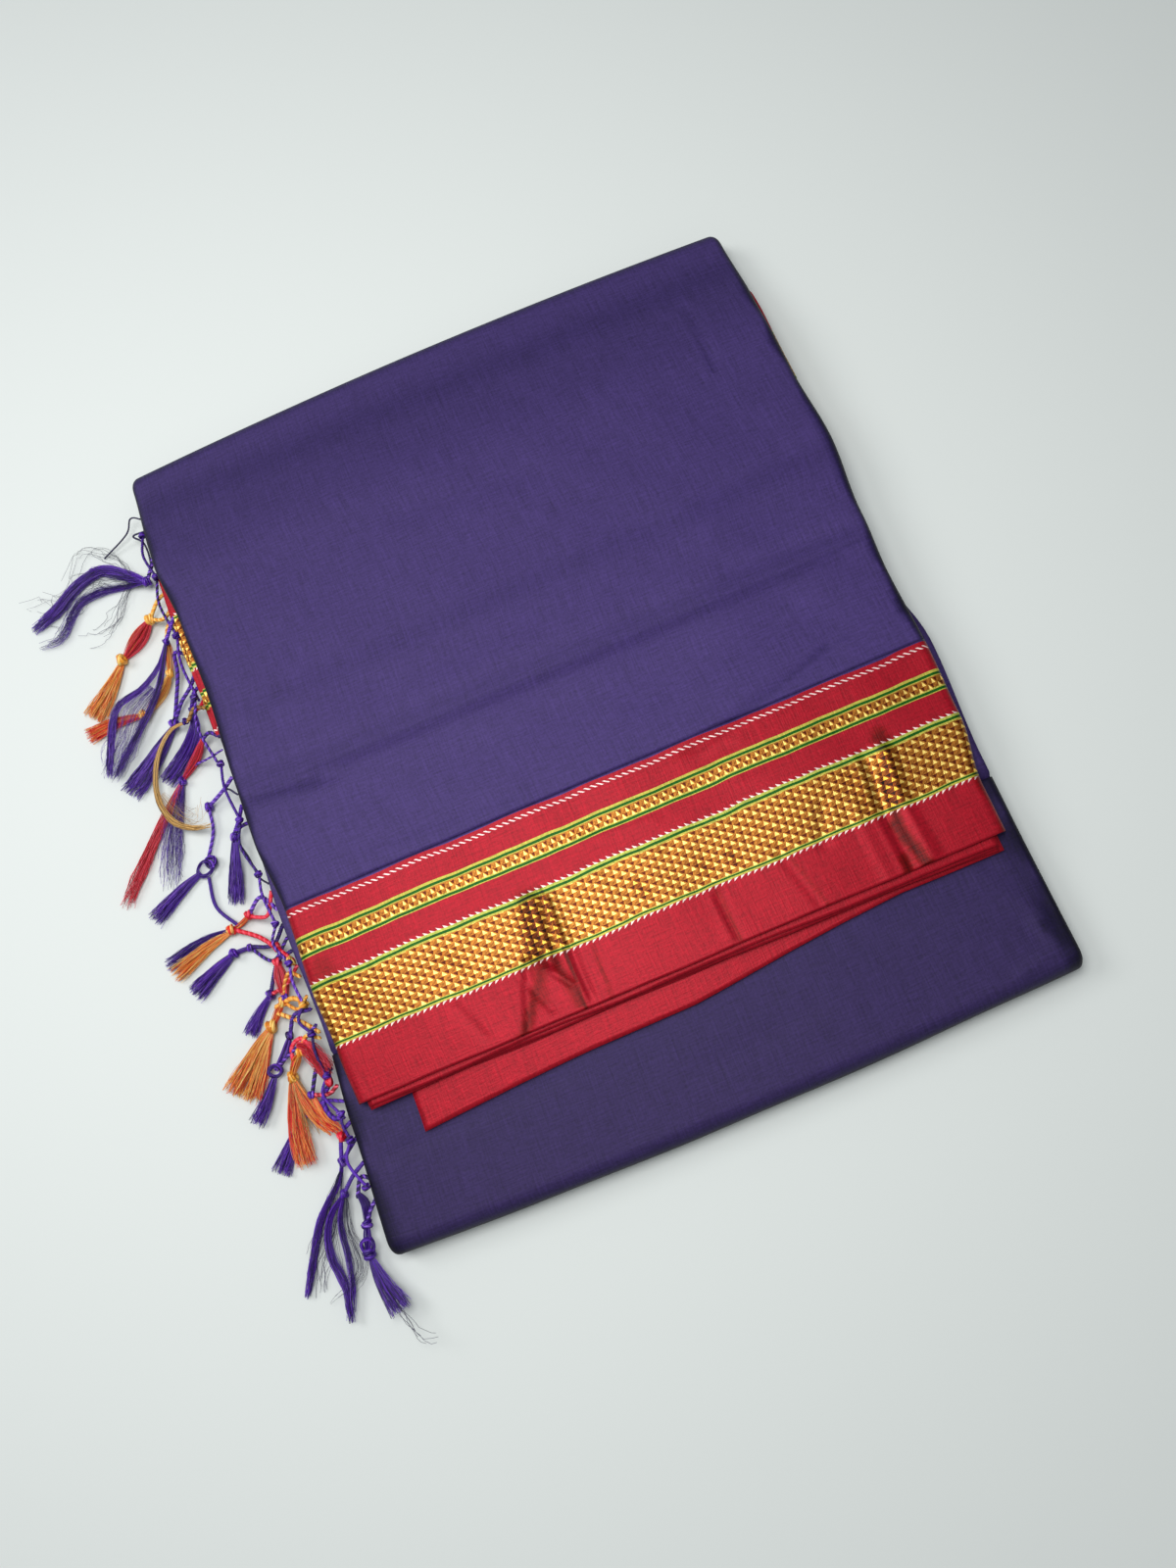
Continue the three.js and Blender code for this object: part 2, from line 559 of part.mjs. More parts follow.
function tassel(row, index) {
  const parts = [];
  const first = row.knots[0];
  const heights = row.knots.map((k, i) => (
    Math.max(k[2] + KNOT_CLEARANCE, (i === 0 ? FIRST_KNOT_Z : NEXT_KNOT_Z) + row.lift)));
  for (const [k, y] of row.roots.entries()) {
    const side = settle([-HALF_WIDTH + RIDGE_INSET, y, 0], SIDES)[0];
    const slant = Math.abs(y - first[1]) / Math.hypot(y - first[1], side - first[0]);
    const start = [side - ROOT_GAP - CORD_RADIUS * slant, y, ROOT_Z];
    const middle = [
      (start[0] + first[0]) / 2,
      (y + first[1]) / 2 + (k ? -CORD_BOW : CORD_BOW),
      (ROOT_Z + heights[0]) / 2 - CORD_SAG,
    ];
    parts.push(thread([start, middle, [first[0], first[1], heights[0]]], CORD_RADIUS, 4, 3));
  }
  row.knots.forEach((k, i) => parts.push(knot(k, heights[i])));
  for (let i = 1; i < row.knots.length; i++) {
    const a = row.knots[i - 1];
    const b = row.knots[i];
    const radius = Math.min(a[2], b[2]) * 0.62;
    parts.push(thread([[a[0], a[1], heights[i - 1]], [b[0], b[1], heights[i]]], radius, 5, 2));
  }
  const head = row.knots[row.knots.length - 1];
  const headZ = heights[heights.length - 1];
  const lockZ = LOCK_Z + Math.max(0, row.lift);
  const dx = row.tip[0] - head[0];
  const dy = row.tip[1] - head[1];
  const length = Math.hypot(dx, dy);
  const ux = dx / length;
  const uy = dy / length;
  for (let i = 0; i < row.locks; i++) {
    const spread = row.locks === 1 ? 0 : (2 * i) / (row.locks - 1) - 1;
    const reach = length * (1 - 0.1 * spread * spread + 0.06 * uneven(index * 31 + i));
    const raise = (i % 2) * LOCK_RAISE;
    const at = (t, across, z) => {
      const bow = row.bow * 4 * t * (1 - t) + across;
      return [head[0] + ux * reach * t - uy * bow, head[1] + uy * reach * t + ux * bow, z];
    };
    const fan = (spread * row.width) / 2;
    const rootAcross = spread * head[2] * 0.55;
    parts.push(thread([
      at(0, rootAcross, headZ),
      at(0.3, rootAcross + (fan - rootAcross) * 0.45, lockZ + raise + 0.6),
      at(0.65, fan * 0.85, lockZ + raise),
      at(1, fan, LOCK_Z + raise * 0.5),
    ], LOCK_RADIUS, 3, 3));
  }
  return toGeometry(Manifold.union(parts).simplify(0.02));
}

// Assembly.

addPiece('body_top_stretch', bodyTop(), COLOURS.violet);
addPiece('border_top_stretch', borderTop(), COLOURS.red, 0.55);
addPiece('body_lower_stretch', bodyLower(), COLOURS.violet);

let hidden = toSolid(hiddenLayers());
for (const s of SIDE_STRIPS) {
  hidden = hidden.subtract(toSolid(sideStrip(s.side, s.y0, s.y1, s.peep, SEAM_GAP)));
  addPiece(s.name, sideStrip(s.side, s.y0, s.y1, s.peep, 0), COLOURS.gold, 0.45);
}
addPiece('hidden_layers', toGeometry(hidden), COLOURS.deep_violet);

PEEPING.forEach((layer, i) => {
  const edge = PEEPING_X.map((x, column) => ({ x, y: layer.edgeY[column] }));
  const bottom = FIRST_STRIP_Z - i * LAYER_PITCH;
  const strip = edgeStrip(edge, STRIP_ROOT_Y, bottom, LAYER, TOP_SIDES);
  addPiece(layer.name, strip, COLOURS.red, 0.55);
});
const groupThickness = FIRST_STRIP_Z - 2 * LAYER_PITCH - SEAM_GAP - (LOWER_Z + SEAM_GAP);
const group = edgeStrip(UNDER_GROUP, STRIP_ROOT_Y, LOWER_Z + SEAM_GAP, groupThickness, SIDES);
addPiece('border_under_group', group, COLOURS.red, 0.55);

TASSELS.forEach((row, i) => addPiece(row.name, tassel(row, i), COLOURS[row.thread], 0.5));

export default saree;
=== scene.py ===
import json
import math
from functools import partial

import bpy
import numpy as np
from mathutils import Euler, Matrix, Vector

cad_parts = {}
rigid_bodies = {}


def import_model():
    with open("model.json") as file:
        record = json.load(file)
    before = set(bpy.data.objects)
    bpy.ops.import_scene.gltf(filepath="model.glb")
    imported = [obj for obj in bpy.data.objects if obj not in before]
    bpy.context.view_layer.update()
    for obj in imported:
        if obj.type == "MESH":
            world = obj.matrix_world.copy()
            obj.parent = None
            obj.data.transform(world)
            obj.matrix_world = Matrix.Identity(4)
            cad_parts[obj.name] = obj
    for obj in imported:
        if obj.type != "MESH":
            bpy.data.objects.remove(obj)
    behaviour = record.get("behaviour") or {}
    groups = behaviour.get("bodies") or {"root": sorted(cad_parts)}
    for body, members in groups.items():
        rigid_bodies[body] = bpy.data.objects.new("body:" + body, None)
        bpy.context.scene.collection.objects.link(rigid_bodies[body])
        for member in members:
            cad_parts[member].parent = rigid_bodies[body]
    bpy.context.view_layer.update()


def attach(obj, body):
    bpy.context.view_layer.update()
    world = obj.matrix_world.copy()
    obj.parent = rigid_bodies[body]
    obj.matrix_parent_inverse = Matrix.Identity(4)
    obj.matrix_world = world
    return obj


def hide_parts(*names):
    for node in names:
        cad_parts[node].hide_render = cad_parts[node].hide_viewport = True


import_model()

# %% [markdown]
# # A folded saree with a woven border and a knotted fringe
# The saree is one long cloth. Its width is folded in three and its length many times, so
# the pack is a stack of layers with the border lying on top and the knotted end at one
# side. The frame gives the plain solids of each stretch that shows. Every stretch is made
# here again as a thin shell on the same outline, fine enough for its creases, and the
# weave is a material that reads one map: metres along the cloth, metres across it.

MM = 0.001

# %% [markdown]
# ## The outline of the pack
# Folded cloth never lies in a true rectangle. The sides swing in and out by a few
# millimetres and the two folds bow out between the corners. Each stretch is first laid out
# straight, and one function then settles all of them onto the real outline, so that pieces
# that lie on each other still meet after the change.

# %% Outline tables and the settling function
HALF_WIDTH = 175 * MM
FAR_FOLD_Y = 215.5 * MM
NEAR_FOLD_Y = -215.5 * MM
TOP_Z = 25 * MM
FAR_FOLD_RADIUS = 8.75 * MM
NEAR_FOLD_RADIUS = 8.25 * MM
LOWER_Z = 2 * NEAR_FOLD_RADIUS
SLOPE_START_Y = 140 * MM
SLOPE_END_Y = 206 * MM
SELVEDGE_Y = -145.2 * MM
BORDER_TOP_Y = -44 * MM
LOWER_END_Y = -118 * MM
FAR_BOW, NEAR_BOW = 5 * MM, 4.2 * MM   # how far the folds stand out at the middle of the pack

SIDES = {  # y, left and right of the lower layers
    "y": [-217, -153, -106, -44, -5, 29, 76, 117, 160, 176, 216],
    "left": [-176.2, -174, -171.5, -173.5, -173.4, -172.8, -173.4, -175.4, -175, -174.6, -173.4],
    "right": [174.7, 174.5, 174.9, 178.5, 173.6, 176.2, 179.6, 177.6, 177.2, 176.6, 175.4],
}
TOP_SIDES = {  # the same of the upper stretch
    "y": [-150, -121, -85, -47, -5, 29, 76, 117, 160, 176, 216],
    "left": [-165, -166.6, -168.7, -168, -171.6, -171, -169.4, -170.4, -174.4, -174.6, -173.4],
    "right": [166.6, 166.8, 172.4, 173.6, 172.8, 174.6, 178.6, 176.2, 176.2, 176.6, 175.4],
}


def smooth(t):
    t = np.clip(t, 0, 1)
    return t * t * (3 - 2 * t)


def side_at(table, y, key):
    rows = np.array(table["y"]) * MM
    values = np.array(table[key]) * MM
    y = np.clip(y, rows[0], rows[-1])
    i = np.clip(np.searchsorted(rows, y) - 1, 0, len(rows) - 2)
    t = smooth((y - rows[i]) / (rows[i + 1] - rows[i]))
    return values[i] + (values[i + 1] - values[i]) * t


def settle(x, y, z, table):
    """Straight pack to real outline, for arrays of the same shape."""
    across = x / HALF_WIDTH
    left, right = side_at(table, y, "left"), side_at(table, y, "right")
    bow = 1 - across**2
    far = FAR_BOW * bow * smooth((y - 120 * MM) / (80 * MM))
    near = -NEAR_BOW * bow * smooth((-y - 150 * MM) / (55 * MM))
    return np.stack([(left + right) / 2 + across * (right - left) / 2, y + far + near, z], axis=-1)


def top_height(y):
    fall = TOP_Z - 2 * FAR_FOLD_RADIUS
    return TOP_Z - fall * smooth((y - SLOPE_START_Y) / (SLOPE_END_Y - SLOPE_START_Y))


# %% [markdown]
# ## From a grid of points to a closed shell
# A stretch of cloth is a grid: rows that follow the fold, columns across it. It could be
# thickened with a Solidify modifier. Here the inner face is worked out from the normals of
# the grid itself, so that the outer face stays exactly where it was placed, and the map of
# the weave goes on both faces.

# %% Shell builder
def add_object(name, data):
    made = bpy.data.objects.new(name, data)
    bpy.context.scene.collection.objects.link(made)
    return made


def grid_normals(points):
    along = np.gradient(points, axis=0)
    across = np.gradient(points, axis=1)
    normal = np.cross(along, across)
    return normal / np.maximum(np.linalg.norm(normal, axis=-1, keepdims=True), 1e-12)


def cloth_object(name, points, faces, weave, material):
    """Smooth mesh object that carries the map of the weave."""
    mesh = bpy.data.meshes.new(name)
    mesh.from_pydata(points.tolist(), [], faces.tolist())
    layer = mesh.uv_layers.new(name="weave")
    corner = np.empty(len(mesh.loops), dtype=np.int32)
    mesh.loops.foreach_get("vertex_index", corner)
    layer.data.foreach_set("uv", weave[corner].astype(np.float32).ravel())
    mesh.polygons.foreach_set("use_smooth", [True] * len(mesh.polygons))
    mesh.materials.append(material)
    mesh.validate()
    return add_object(name, mesh)


def shell(name, points, weave, thickness, material):
    """Closed cloth from a grid (rows, columns, 3). Rows run so that along x across points out."""
    rows, columns = points.shape[:2]
    inner = points - grid_normals(points) * thickness
    index = np.arange(rows * columns).reshape(rows, columns)
    a, b, c, d = index[:-1, :-1], index[1:, :-1], index[1:, 1:], index[:-1, 1:]
    outer_faces = np.stack([a, b, c, d], axis=-1).reshape(-1, 4)
    shift = rows * columns
    inner_faces = outer_faces[:, ::-1] + shift
    ring = np.concatenate([index[0, :-1], index[:-1, -1], index[-1, :0:-1], index[:0:-1, 0]])
    following = np.roll(ring, -1)
    rim_faces = np.stack([ring, following, following + shift, ring + shift], axis=-1)
    faces = np.concatenate([outer_faces, inner_faces, rim_faces])
    everything = np.concatenate([points.reshape(-1, 3), inner.reshape(-1, 3)])
    maps = np.concatenate([weave.reshape(-1, 2)] * 2)
    return cloth_object(name, everything, faces, maps, material)


def woven(along, across):
    """Map of the weave for a grid, from metres along the cloth and across it."""
    return np.stack(np.broadcast_arrays(along, across), axis=-1)


# %% [markdown]
# ## Short ways to write node trees
# The weave is a shader tree and the fringe is a geometry tree. Both are written in full
# below as sums and products of node outputs, and a small helper turns each of those into a
# node. Colours are written as they are seen, from 0 to 255, and turned into linear light.

# %% Node helper and colours
def seen(red, green, blue):
    def linear(c):
        c /= 255
        return c / 12.92 if c <= 0.04045 else ((c + 0.055) / 1.055) ** 2.4
    return (linear(red), linear(green), linear(blue), 1.0)


class Value:
    """One output of a node. Sums, products and comparisons of values make Math nodes."""

    def __init__(self, net, socket):
        self.net, self.socket = net, socket

    def __add__(self, other):
        return self.net.math("ADD", self, other)

    def __sub__(self, other):
        return self.net.math("SUBTRACT", self, other)

    def __rsub__(self, other):
        return self.net.math("SUBTRACT", other, self)

    def __mul__(self, other):
        return self.net.math("MULTIPLY", self, other)

    def __truediv__(self, other):
        return self.net.math("DIVIDE", self, other)

    def __lt__(self, other):
        return self.net.math("LESS_THAN", self, other)

    def __gt__(self, other):
        return self.net.math("GREATER_THAN", self, other)


class Net:
    """Adds nodes to a tree and wires them."""

    def __init__(self, tree):
        self.tree = tree

    def put(self, socket, value):
        if isinstance(value, Value):
            self.tree.links.new(value.socket, socket)
        else:
            socket.default_value = value

    def fill(self, sockets, values):
        for key, value in dict(values).items():
            self.put(sockets[key], value)

    def node(self, kind, inputs=(), **settings):
        node = self.tree.nodes.new(kind)
        for key, value in settings.items():
            setattr(node, key, value)
        self.fill(node.inputs, inputs)
        return node

    def value(self, kind, inputs=(), output=0, **settings):
        return Value(self, self.node(kind, inputs, **settings).outputs[output])

    def values(self, kind, inputs=(), **settings):
        outputs = self.node(kind, inputs, **settings).outputs
        return {socket.name: Value(self, socket) for socket in outputs}

    def math(self, operation, *values):
        return self.value("ShaderNodeMath", enumerate(values), operation=operation)

    def vector(self, operation, *values, **named):
        return self.value("ShaderNodeVectorMath", {**dict(enumerate(values)), **named}, operation=operation)

    def mix(self, factor, a, b):
        return self.value("ShaderNodeMix", {"Factor": factor, 6: a, 7: b}, 2,
                          data_type="RGBA", clamp_factor=True)

    def noise(self, place, detail=2.0, output="Fac"):
        return self.value("ShaderNodeTexNoise", {"Vector": place, "Scale": 1.0, "Detail": detail}, output)

    def split(self, vector):
        return self.values("ShaderNodeSeparateXYZ", {0: vector}).values()

    def ramp(self, factor, stops, interpolation="LINEAR"):
        """Colour ramp from rows of place and colour."""
        node = self.node("ShaderNodeValToRGB", {0: factor})
        ramp = node.color_ramp
        ramp.interpolation = interpolation
        ramp.elements.remove(ramp.elements[-1])
        ramp.elements[0].color = stops[0][1]
        for place, colour in stops[1:]:
            ramp.elements.new(place).color = colour
        return Value(self, node.outputs["Color"])


def new_group(name, kind, inputs, outputs):
    """Empty node group: its net, its inputs as values by name, and its output sockets."""
    tree = bpy.data.node_groups.new(name, kind)
    for label, socket, default in inputs:
        item = tree.interface.new_socket(label, in_out="INPUT", socket_type=socket)
        if default is not None:
            item.default_value = default
    for label, socket in outputs:
        tree.interface.new_socket(label, in_out="OUTPUT", socket_type=socket)
    net = Net(tree)
    return net, net.values("NodeGroupInput"), net.node("NodeGroupOutput").inputs


def new_material(name):
    """Material, its net and the inputs of its surface."""
    material = bpy.data.materials.new(name)
    material.use_nodes = True
    return material, Net(material.node_tree), material.node_tree.nodes["Principled BSDF"].inputs


# %% [markdown]
# ## The weave
# The body is a shot cloth: dark threads one way and violet ones the other, with thick and
# thin places that show as short streaks. An image of cloth could carry that, but noise
# stretched along the threads gives it at any distance and never repeats. The same group
# serves the violet body and the red border.

# %% Streaks and grain of the weave
STREAKS = [(1500, 60, 1), (90, 1300, 1), (700, 800, 1), (520, 26, 1)]   # weft, warp, grain, slubs per metre
SLUB_SHARE = 0.45


def build_weave_group():
    net, given, result = new_group(
        "Weave", "ShaderNodeTree", [("Map", "NodeSocketVector", None), ("Strength", "NodeSocketFloat", 0.2)],
        [("Tone", "NodeSocketFloat"), ("Height", "NodeSocketFloat")])
    weft, warp, grain, slubs = [net.noise(net.vector("MULTIPLY", given["Map"], scale)) for scale in STREAKS]
    centred = slubs * SLUB_SHARE + (weft + warp + grain) - (3 + SLUB_SHARE) / 2
    net.fill(result, {"Tone": centred * given["Strength"] + 1.0, "Height": centred})
    return net.tree


WEAVE = build_weave_group()

# %% [markdown]
# ## The border pattern
# From the selvedge inwards come plain red, a row of white teeth, a green line between two
# yellow ones, the wide gold band, the same lines again, red, the narrow gold band and a row
# of white dashes where the violet starts. A ramp with hard steps holds the bands by their
# width in millimetres. Teeth and the gold lattice are drawn by arithmetic on the map, so
# they stay sharp and follow every crease.

# %% Border bands
BAND_LIMIT = 110  # mm on the ramp
YELLOW, GREEN, LIME = seen(180, 172, 70), seen(6, 84, 6), seen(172, 178, 76)
RED, ZARI_BASE = seen(158, 11, 32), seen(164, 104, 34)
BANDS = [  # distance from the selvedge in mm, colour
    (0, RED), (28.6, YELLOW), (29.3, GREEN), (30.4, YELLOW), (30.9, ZARI_BASE), (57.5, YELLOW),
    (58.3, GREEN), (59.5, LIME), (61.0, RED), (73.5, YELLOW), (74.3, GREEN), (75.6, YELLOW),
    (76.1, ZARI_BASE), (81.3, YELLOW), (82.0, GREEN), (83.1, YELLOW), (84.3, RED),
]
TEETH = [  # base, tip in mm, pitch, slant, share of the pitch that is white at the base
    (28.7, 27.2, 3.5, 0.2, 0.6), (60.9, 62.5, 3.5, 0.2, 0.6), (95.7, 97.4, 3.4, 0.8, 0.36),
]
VIOLET_START = 99.4
ZARI = [  # low, high in mm, then pitch along and across
    (30.9, 57.5, 7.45, 2.2), (76.1, 81.3, 5.0, 2.6),
]
ZARI_BRIGHT, ZARI_DARK, ZARI_LINE = seen(252, 218, 118), seen(84, 24, 2), seen(104, 46, 8)
TOOTH_WHITE = seen(240, 216, 212)
BAND_SWAY = 3.6   # mm between the lowest and the highest place that a band wanders to
BRIGHT_TRIANGLE = (0.27, -0.18, 0.175)   # middle in the pitch, half width gained up the row, at its foot
DARK_TRIANGLE = (0.57, 0.23, -0.015)
DIAGONALS = [(-1, 0.62, 1.0), (1, 0.95, 0.5)]   # lean, place in the pitch, strength


def within(value, low, high):
    return (value > low) * (value < high)


def lattice(net, along, across, low, high, pitch, row):
    """Masks of the bright and dark triangles of one gold band, and of its double diagonals."""
    rows, columns = (across - low) / row, along / pitch
    number = net.math("FLOOR", rows)
    rise = rows - number
    place = net.math("FRACT", columns + (number * 0.5 + rise * 0.12))

    def triangle(middle, gain, foot):
        return net.math("ABSOLUTE", place - middle) < rise * gain + foot

    lines = []
    for lean, start, strength in DIAGONALS:
        step = net.math("FRACT", rows * (0.5 * lean) + (columns - start))
        two_threads = net.math("FRACT", step * 10.0) > 0.45
        lines.append((step < 0.2) * strength * two_threads)
    masks = triangle(*BRIGHT_TRIANGLE), triangle(*DARK_TRIANGLE) * (rise < 0.9), net.math("MAXIMUM", *lines)
    return [mask * within(across, low, high) for mask in masks]


def build_border_group():
    net, given, result = new_group(
        "Border pattern", "ShaderNodeTree", [("Map", "NodeSocketVector", None)],
        [("Color", "NodeSocketColor"), ("Gold", "NodeSocketFloat"), ("Violet", "NodeSocketFloat"),
         ("Height", "NodeSocketFloat")])
    x, y, _ = net.split(given["Map"])
    wander = net.noise(net.vector("MULTIPLY", given["Map"], (24, 12, 1)))
    along, across = x * 1000, y * 1000 + (wander - 0.5) * BAND_SWAY
    stops = [(start / BAND_LIMIT, colour) for start, colour in BANDS]
    colour, gold, height = net.ramp(across / BAND_LIMIT, stops, "CONSTANT"), None, None
    for low, high, pitch, row in ZARI:
        bright, dark, line = lattice(net, along, across, low, high, pitch, row)
        colour = net.mix(line * 0.9, colour, ZARI_LINE)
        colour = net.mix(dark, colour, ZARI_DARK)
        colour = net.mix(bright, colour, ZARI_BRIGHT)
        band, relief = within(across, low, high), bright - dark
        gold, height = (gold + band, height + relief) if gold else (band, relief)
    for base, tip, pitch, slant, share in TEETH:
        up = (across - base) / (tip - base)
        place = net.math("FRACT", up * slant + along / pitch)
        limit = share if slant > 0.5 else up * -share + share
        tooth = (place < limit) * within(up, 0.0, 1.0)
        colour, height = net.mix(tooth, colour, TOOTH_WHITE), height + tooth
    net.fill(result, {"Color": colour, "Gold": gold, "Violet": across > VIOLET_START, "Height": height})
    return net.tree


BORDER = build_border_group()
print("border pattern:", len(BANDS), "bands,", len(TEETH), "rows of teeth,", len(ZARI), "gold bands")

# %% [markdown]
# ## Cloth materials
# The shot cloth turns navy where it is seen at a flat angle, because the dark threads then
# hide the violet ones. Layer Weight gives that angle. The gold bands are part metal, so the
# creases catch light and lose it more than the cotton beside them. Shade is also painted into
# the colour: an attribute of the mesh says how much at the creases, along the rolled sides and
# underneath, and the lower stretch and the inner layers get a darker copy of the violet.

# %% Violet cloth and border cloth
VIOLET_FACE, VIOLET_EDGE = seen(67, 50, 110), seen(22, 22, 44)
WEAVE_STRENGTH = 0.72
SHADE_GAMMA, SHADE_LOSS = 0.9, 0.35   # how painted shade deepens and darkens the colour


def cloth_material(name, bordered, tone=1.0):
    """Shot cloth whose violet is scaled by tone, a painted shade for layers that lie in shade, with the
    border over it where that is asked for.
    """
    material, net, surface = new_material(name)
    weave_map = net.value("ShaderNodeUVMap", output="UV", uv_map="weave")
    weave = net.values("ShaderNodeGroup", {"Map": weave_map, "Strength": WEAVE_STRENGTH}, node_tree=WEAVE)
    facing = net.math("POWER", net.value("ShaderNodeLayerWeight", {"Blend": 0.5}, "Facing"), 0.8)
    violet = net.mix(facing, [c * tone for c in VIOLET_FACE[:3]] + [1], VIOLET_EDGE)
    colour, height, roughness, metal = violet, weave["Height"], 0.6, 0.0
    if bordered:
        border = net.values("ShaderNodeGroup", {"Map": weave_map}, node_tree=BORDER)
        colour = net.mix(border["Violet"], border["Color"], violet)
        height = border["Height"] * 0.8 + height
        roughness, metal = border["Gold"] * -0.06 + 0.46, border["Gold"] * 0.25 + 0.3
    # Painted shade: the mesh attribute says how much the colour is deepened and darkened where shade falls.
    painted_shade = net.value("ShaderNodeAttribute", output="Fac", attribute_name="painted_shade")
    toned = net.vector("MULTIPLY", colour, weave["Tone"])
    deeper = net.value("ShaderNodeGamma", {"Color": toned, "Gamma": painted_shade * SHADE_GAMMA + 1.0})
    bump = {"Height": height, "Strength": 0.35, "Distance": 0.25 * MM}
    net.fill(surface, {
        "Base Color": net.vector("SCALE", deeper, Scale=painted_shade * -SHADE_LOSS + 1.0),
        "Metallic": metal, "Roughness": roughness, "Specular IOR Level": 0.22,
        "Sheen Weight": 0.04, "Sheen Roughness": 0.4, "Normal": net.value("ShaderNodeBump", bump, "Normal")})
    return material


BODY_CLOTH = cloth_material("violet shot cloth", bordered=False)
# The lower stretch and the inner layers are the same violet cloth, darkened as painted shade.
SHADED_LOWER_CLOTH = cloth_material("violet cloth of the lower stretch", bordered=False, tone=0.6)
BORDER_CLOTH = cloth_material("border cloth", bordered=True)
SHADED_INNER_CLOTH = cloth_material("inner cloth", bordered=True, tone=0.8)

# %% [markdown]
# ## Creases and the soft swell of the pack
# Pressed folds leave long shallow lines, and where a hand has picked the pack up the border
# has short sharp ones. A cloth simulation would make new ones each time. These are given one
# by one, each with its own length, depth and spread, over a slow swell that lifts the stretch
# by fractions of a millimetre. A crease with a step is higher on one side than on the other.

# %% Creases
CREASES = [  # x0, y0, x1, y1, reach, depth, step in mm
    (-172, 16.5, 172, 14.5, 6, 0.8, 0.8), (-172, 3, 172, 1, 10, -0.5, 0),
    (139, -28, 36, -52, 6, 0.7, 0.35), (139, 176, 138.5, 132, 3, 0.6, 0.2),
    (-174, 18, -118, 8, 6, 0.9, 0), (-60, 128, 40, 118, 12, 0.25, 0.1),
    (60, 60, 160, 74, 12, 0.3, 0), (-150, 70, -100, 110, 12, 0.25, 0), (20, -20, 120, -8, 9, 0.3, 0),
    (-140, -30, -40, -36, 6, 0.35, 0.1), (-100, 40, 10, 46, 14, 0.25, 0), (90, 30, 174, 22, 8, 0.4, 0),
]
BORDER_CREASES = [
    (-47, -84, -48, -146, 1.6, 0.8, 0.9), (-57, -82, -60, -124, 7, -1.3, 0),
    (-68, -110, -84, -149, 4, 0.9, 0.3), (-63, -118, -52, -134, 3, 0.8, 0),
    (-76, -118, -66, -142, 3, -0.5, 0),
    (121, -80, 124, -150, 4, 1.1, 0.6), (132, -80, 136, -150, 6, -1.0, 0), (110, -100, 112, -150, 6, -0.4, 0),
    (30, -117, 31, -145, 2.5, 0.5, 0.25), (-112, -118, -102, -142, 4, 0.35, 0),
    (66, -108, 76, -147, 4, 0.35, 0), (-20, -86, -6, -110, 6, 0.4, 0), (96, -96, 88, -122, 6, 0.35, 0),
    (-150, -60, -90, -66, 6, 0.3, 0), (0, -62, 70, -56, 6, 0.3, 0), (-30, -70, 20, -76, 5, -0.3, 0),
    (10, -90, 40, -84, 5, 0.35, 0), (-140, -100, -90, -92, 6, 0.3, 0), (60, -72, 120, -66, 5, 0.3, 0),
]
UNDER_CREASES = [
    (-160, 60, 160, 66, 7, 0.35, 0), (-160, -80, 150, -70, 8, 0.3, 0), (40, 150, 60, -190, 10, 0.25, 0),
    (-120, -170, 150, -176, 7, 0.3, 0.1), (-172, -138, 30, -150, 9, 0.2, 0),
]


def from_line(x, y, x0, y0, x1, y1):
    """Direction of a line given in mm, share of the way along it, and offsets from its nearest point."""
    dx, dy = (x1 - x0) * MM, (y1 - y0) * MM
    t = np.clip(((x - x0 * MM) * dx + (y - y0 * MM) * dy) / (dx * dx + dy * dy), 0, 1)
    return dx, dy, t, x - x0 * MM - t * dx, y - y0 * MM - t * dy


def crease_relief(x, y, creases):
    """Height in metres that the creases of a list take from the cloth."""
    total = np.zeros_like(x)
    for *line, reach, depth, step in creases:
        dx, dy, t, off_x, off_y = from_line(x, y, *line)
        distance = np.hypot(off_x, off_y)
        side = np.sign(dx * off_y - dy * off_x) * np.minimum(distance / (reach * MM), 1)
        ends = smooth(t / 0.12) * smooth((1 - t) / 0.12)
        fade = 1 - smooth(distance / (3 * reach * MM))
        total += ends * depth * MM * (1 - smooth(distance / (reach * MM)))
        total += ends * step * MM * side * fade
    return total


SHADE_LINES = [  # painted shade along creases and folds: x0, y0, x1, y1, reach in mm, share of the light lost
    (-55, -88, -61, -114, 9, 0.8), (-52, -90, -54, -112, 5, 0.6), (-46.8, -84, -48.4, -146, 1.2, 0.95),
    (-59, -118, -80, -146, 4, 0.6), (-54, -117, -50, -142, 3.6, 0.5), (-62, -120, -66, -134, 5, 0.3),
    (-34, -118, -35, -146, 1.2, 0.35), (132, -80, 126, -112, 6, 0.7), (124, -100, 121, -130, 3.4, 0.95),
    (120, -122, 126, -146, 4.2, 0.95), (117, -138, 116, -150, 4, 0.7), (110, -92, 112, -112, 7, 0.2),
    (-4, -100, -2, -106, 4, 0.45), (42, -104, 44, -109, 3.5, 0.5), (27, -103, 30, -107, 4, 0.35),
    (30, -116, 31, -144, 1.4, 0.4), (66, -108, 76, -147, 1.5, 0.25), (-160, -78, -150, -100, 9, 0.25),
    (-104, -96, -96, -104, 5, 0.2), (-172, 17, 172, 15, 2.2, 0.09), (-172, 22, 172, 20, 8, 0.06),
    (-178, 15, -132, 9, 8, 0.1), (139, 176, 138.5, 132, 1.4, 0.25), (104, -36, 128, -28, 1.6, 0.16),
    (139, -28, 36, -52, 2, 0.1), (172, -26, 176, 4, 7, 0.5), (-150, 60, 172, 66, 10, 0.04),
    (-172, 190, 172, 188, 14, 0.06),
]
# Painted shade along the creases and the near fold of the lower stretch, in the same columns.
LOWER_SHADE_LINES = [
    (163, -190, 169, -202, 3.2, 0.3), (174, -176, 170, -200, 4, 0.25), (-174, -118, 174, -150, 12, 0.06),
    (160, -120, 168, -190, 8, 0.15),
]
RIM_SHADE, UNDER_SHADE = 0.6, 0.3   # painted shade: share of light lost at the rolled sides, and anywhere below the next height
DARK_BELOW = 12 * MM


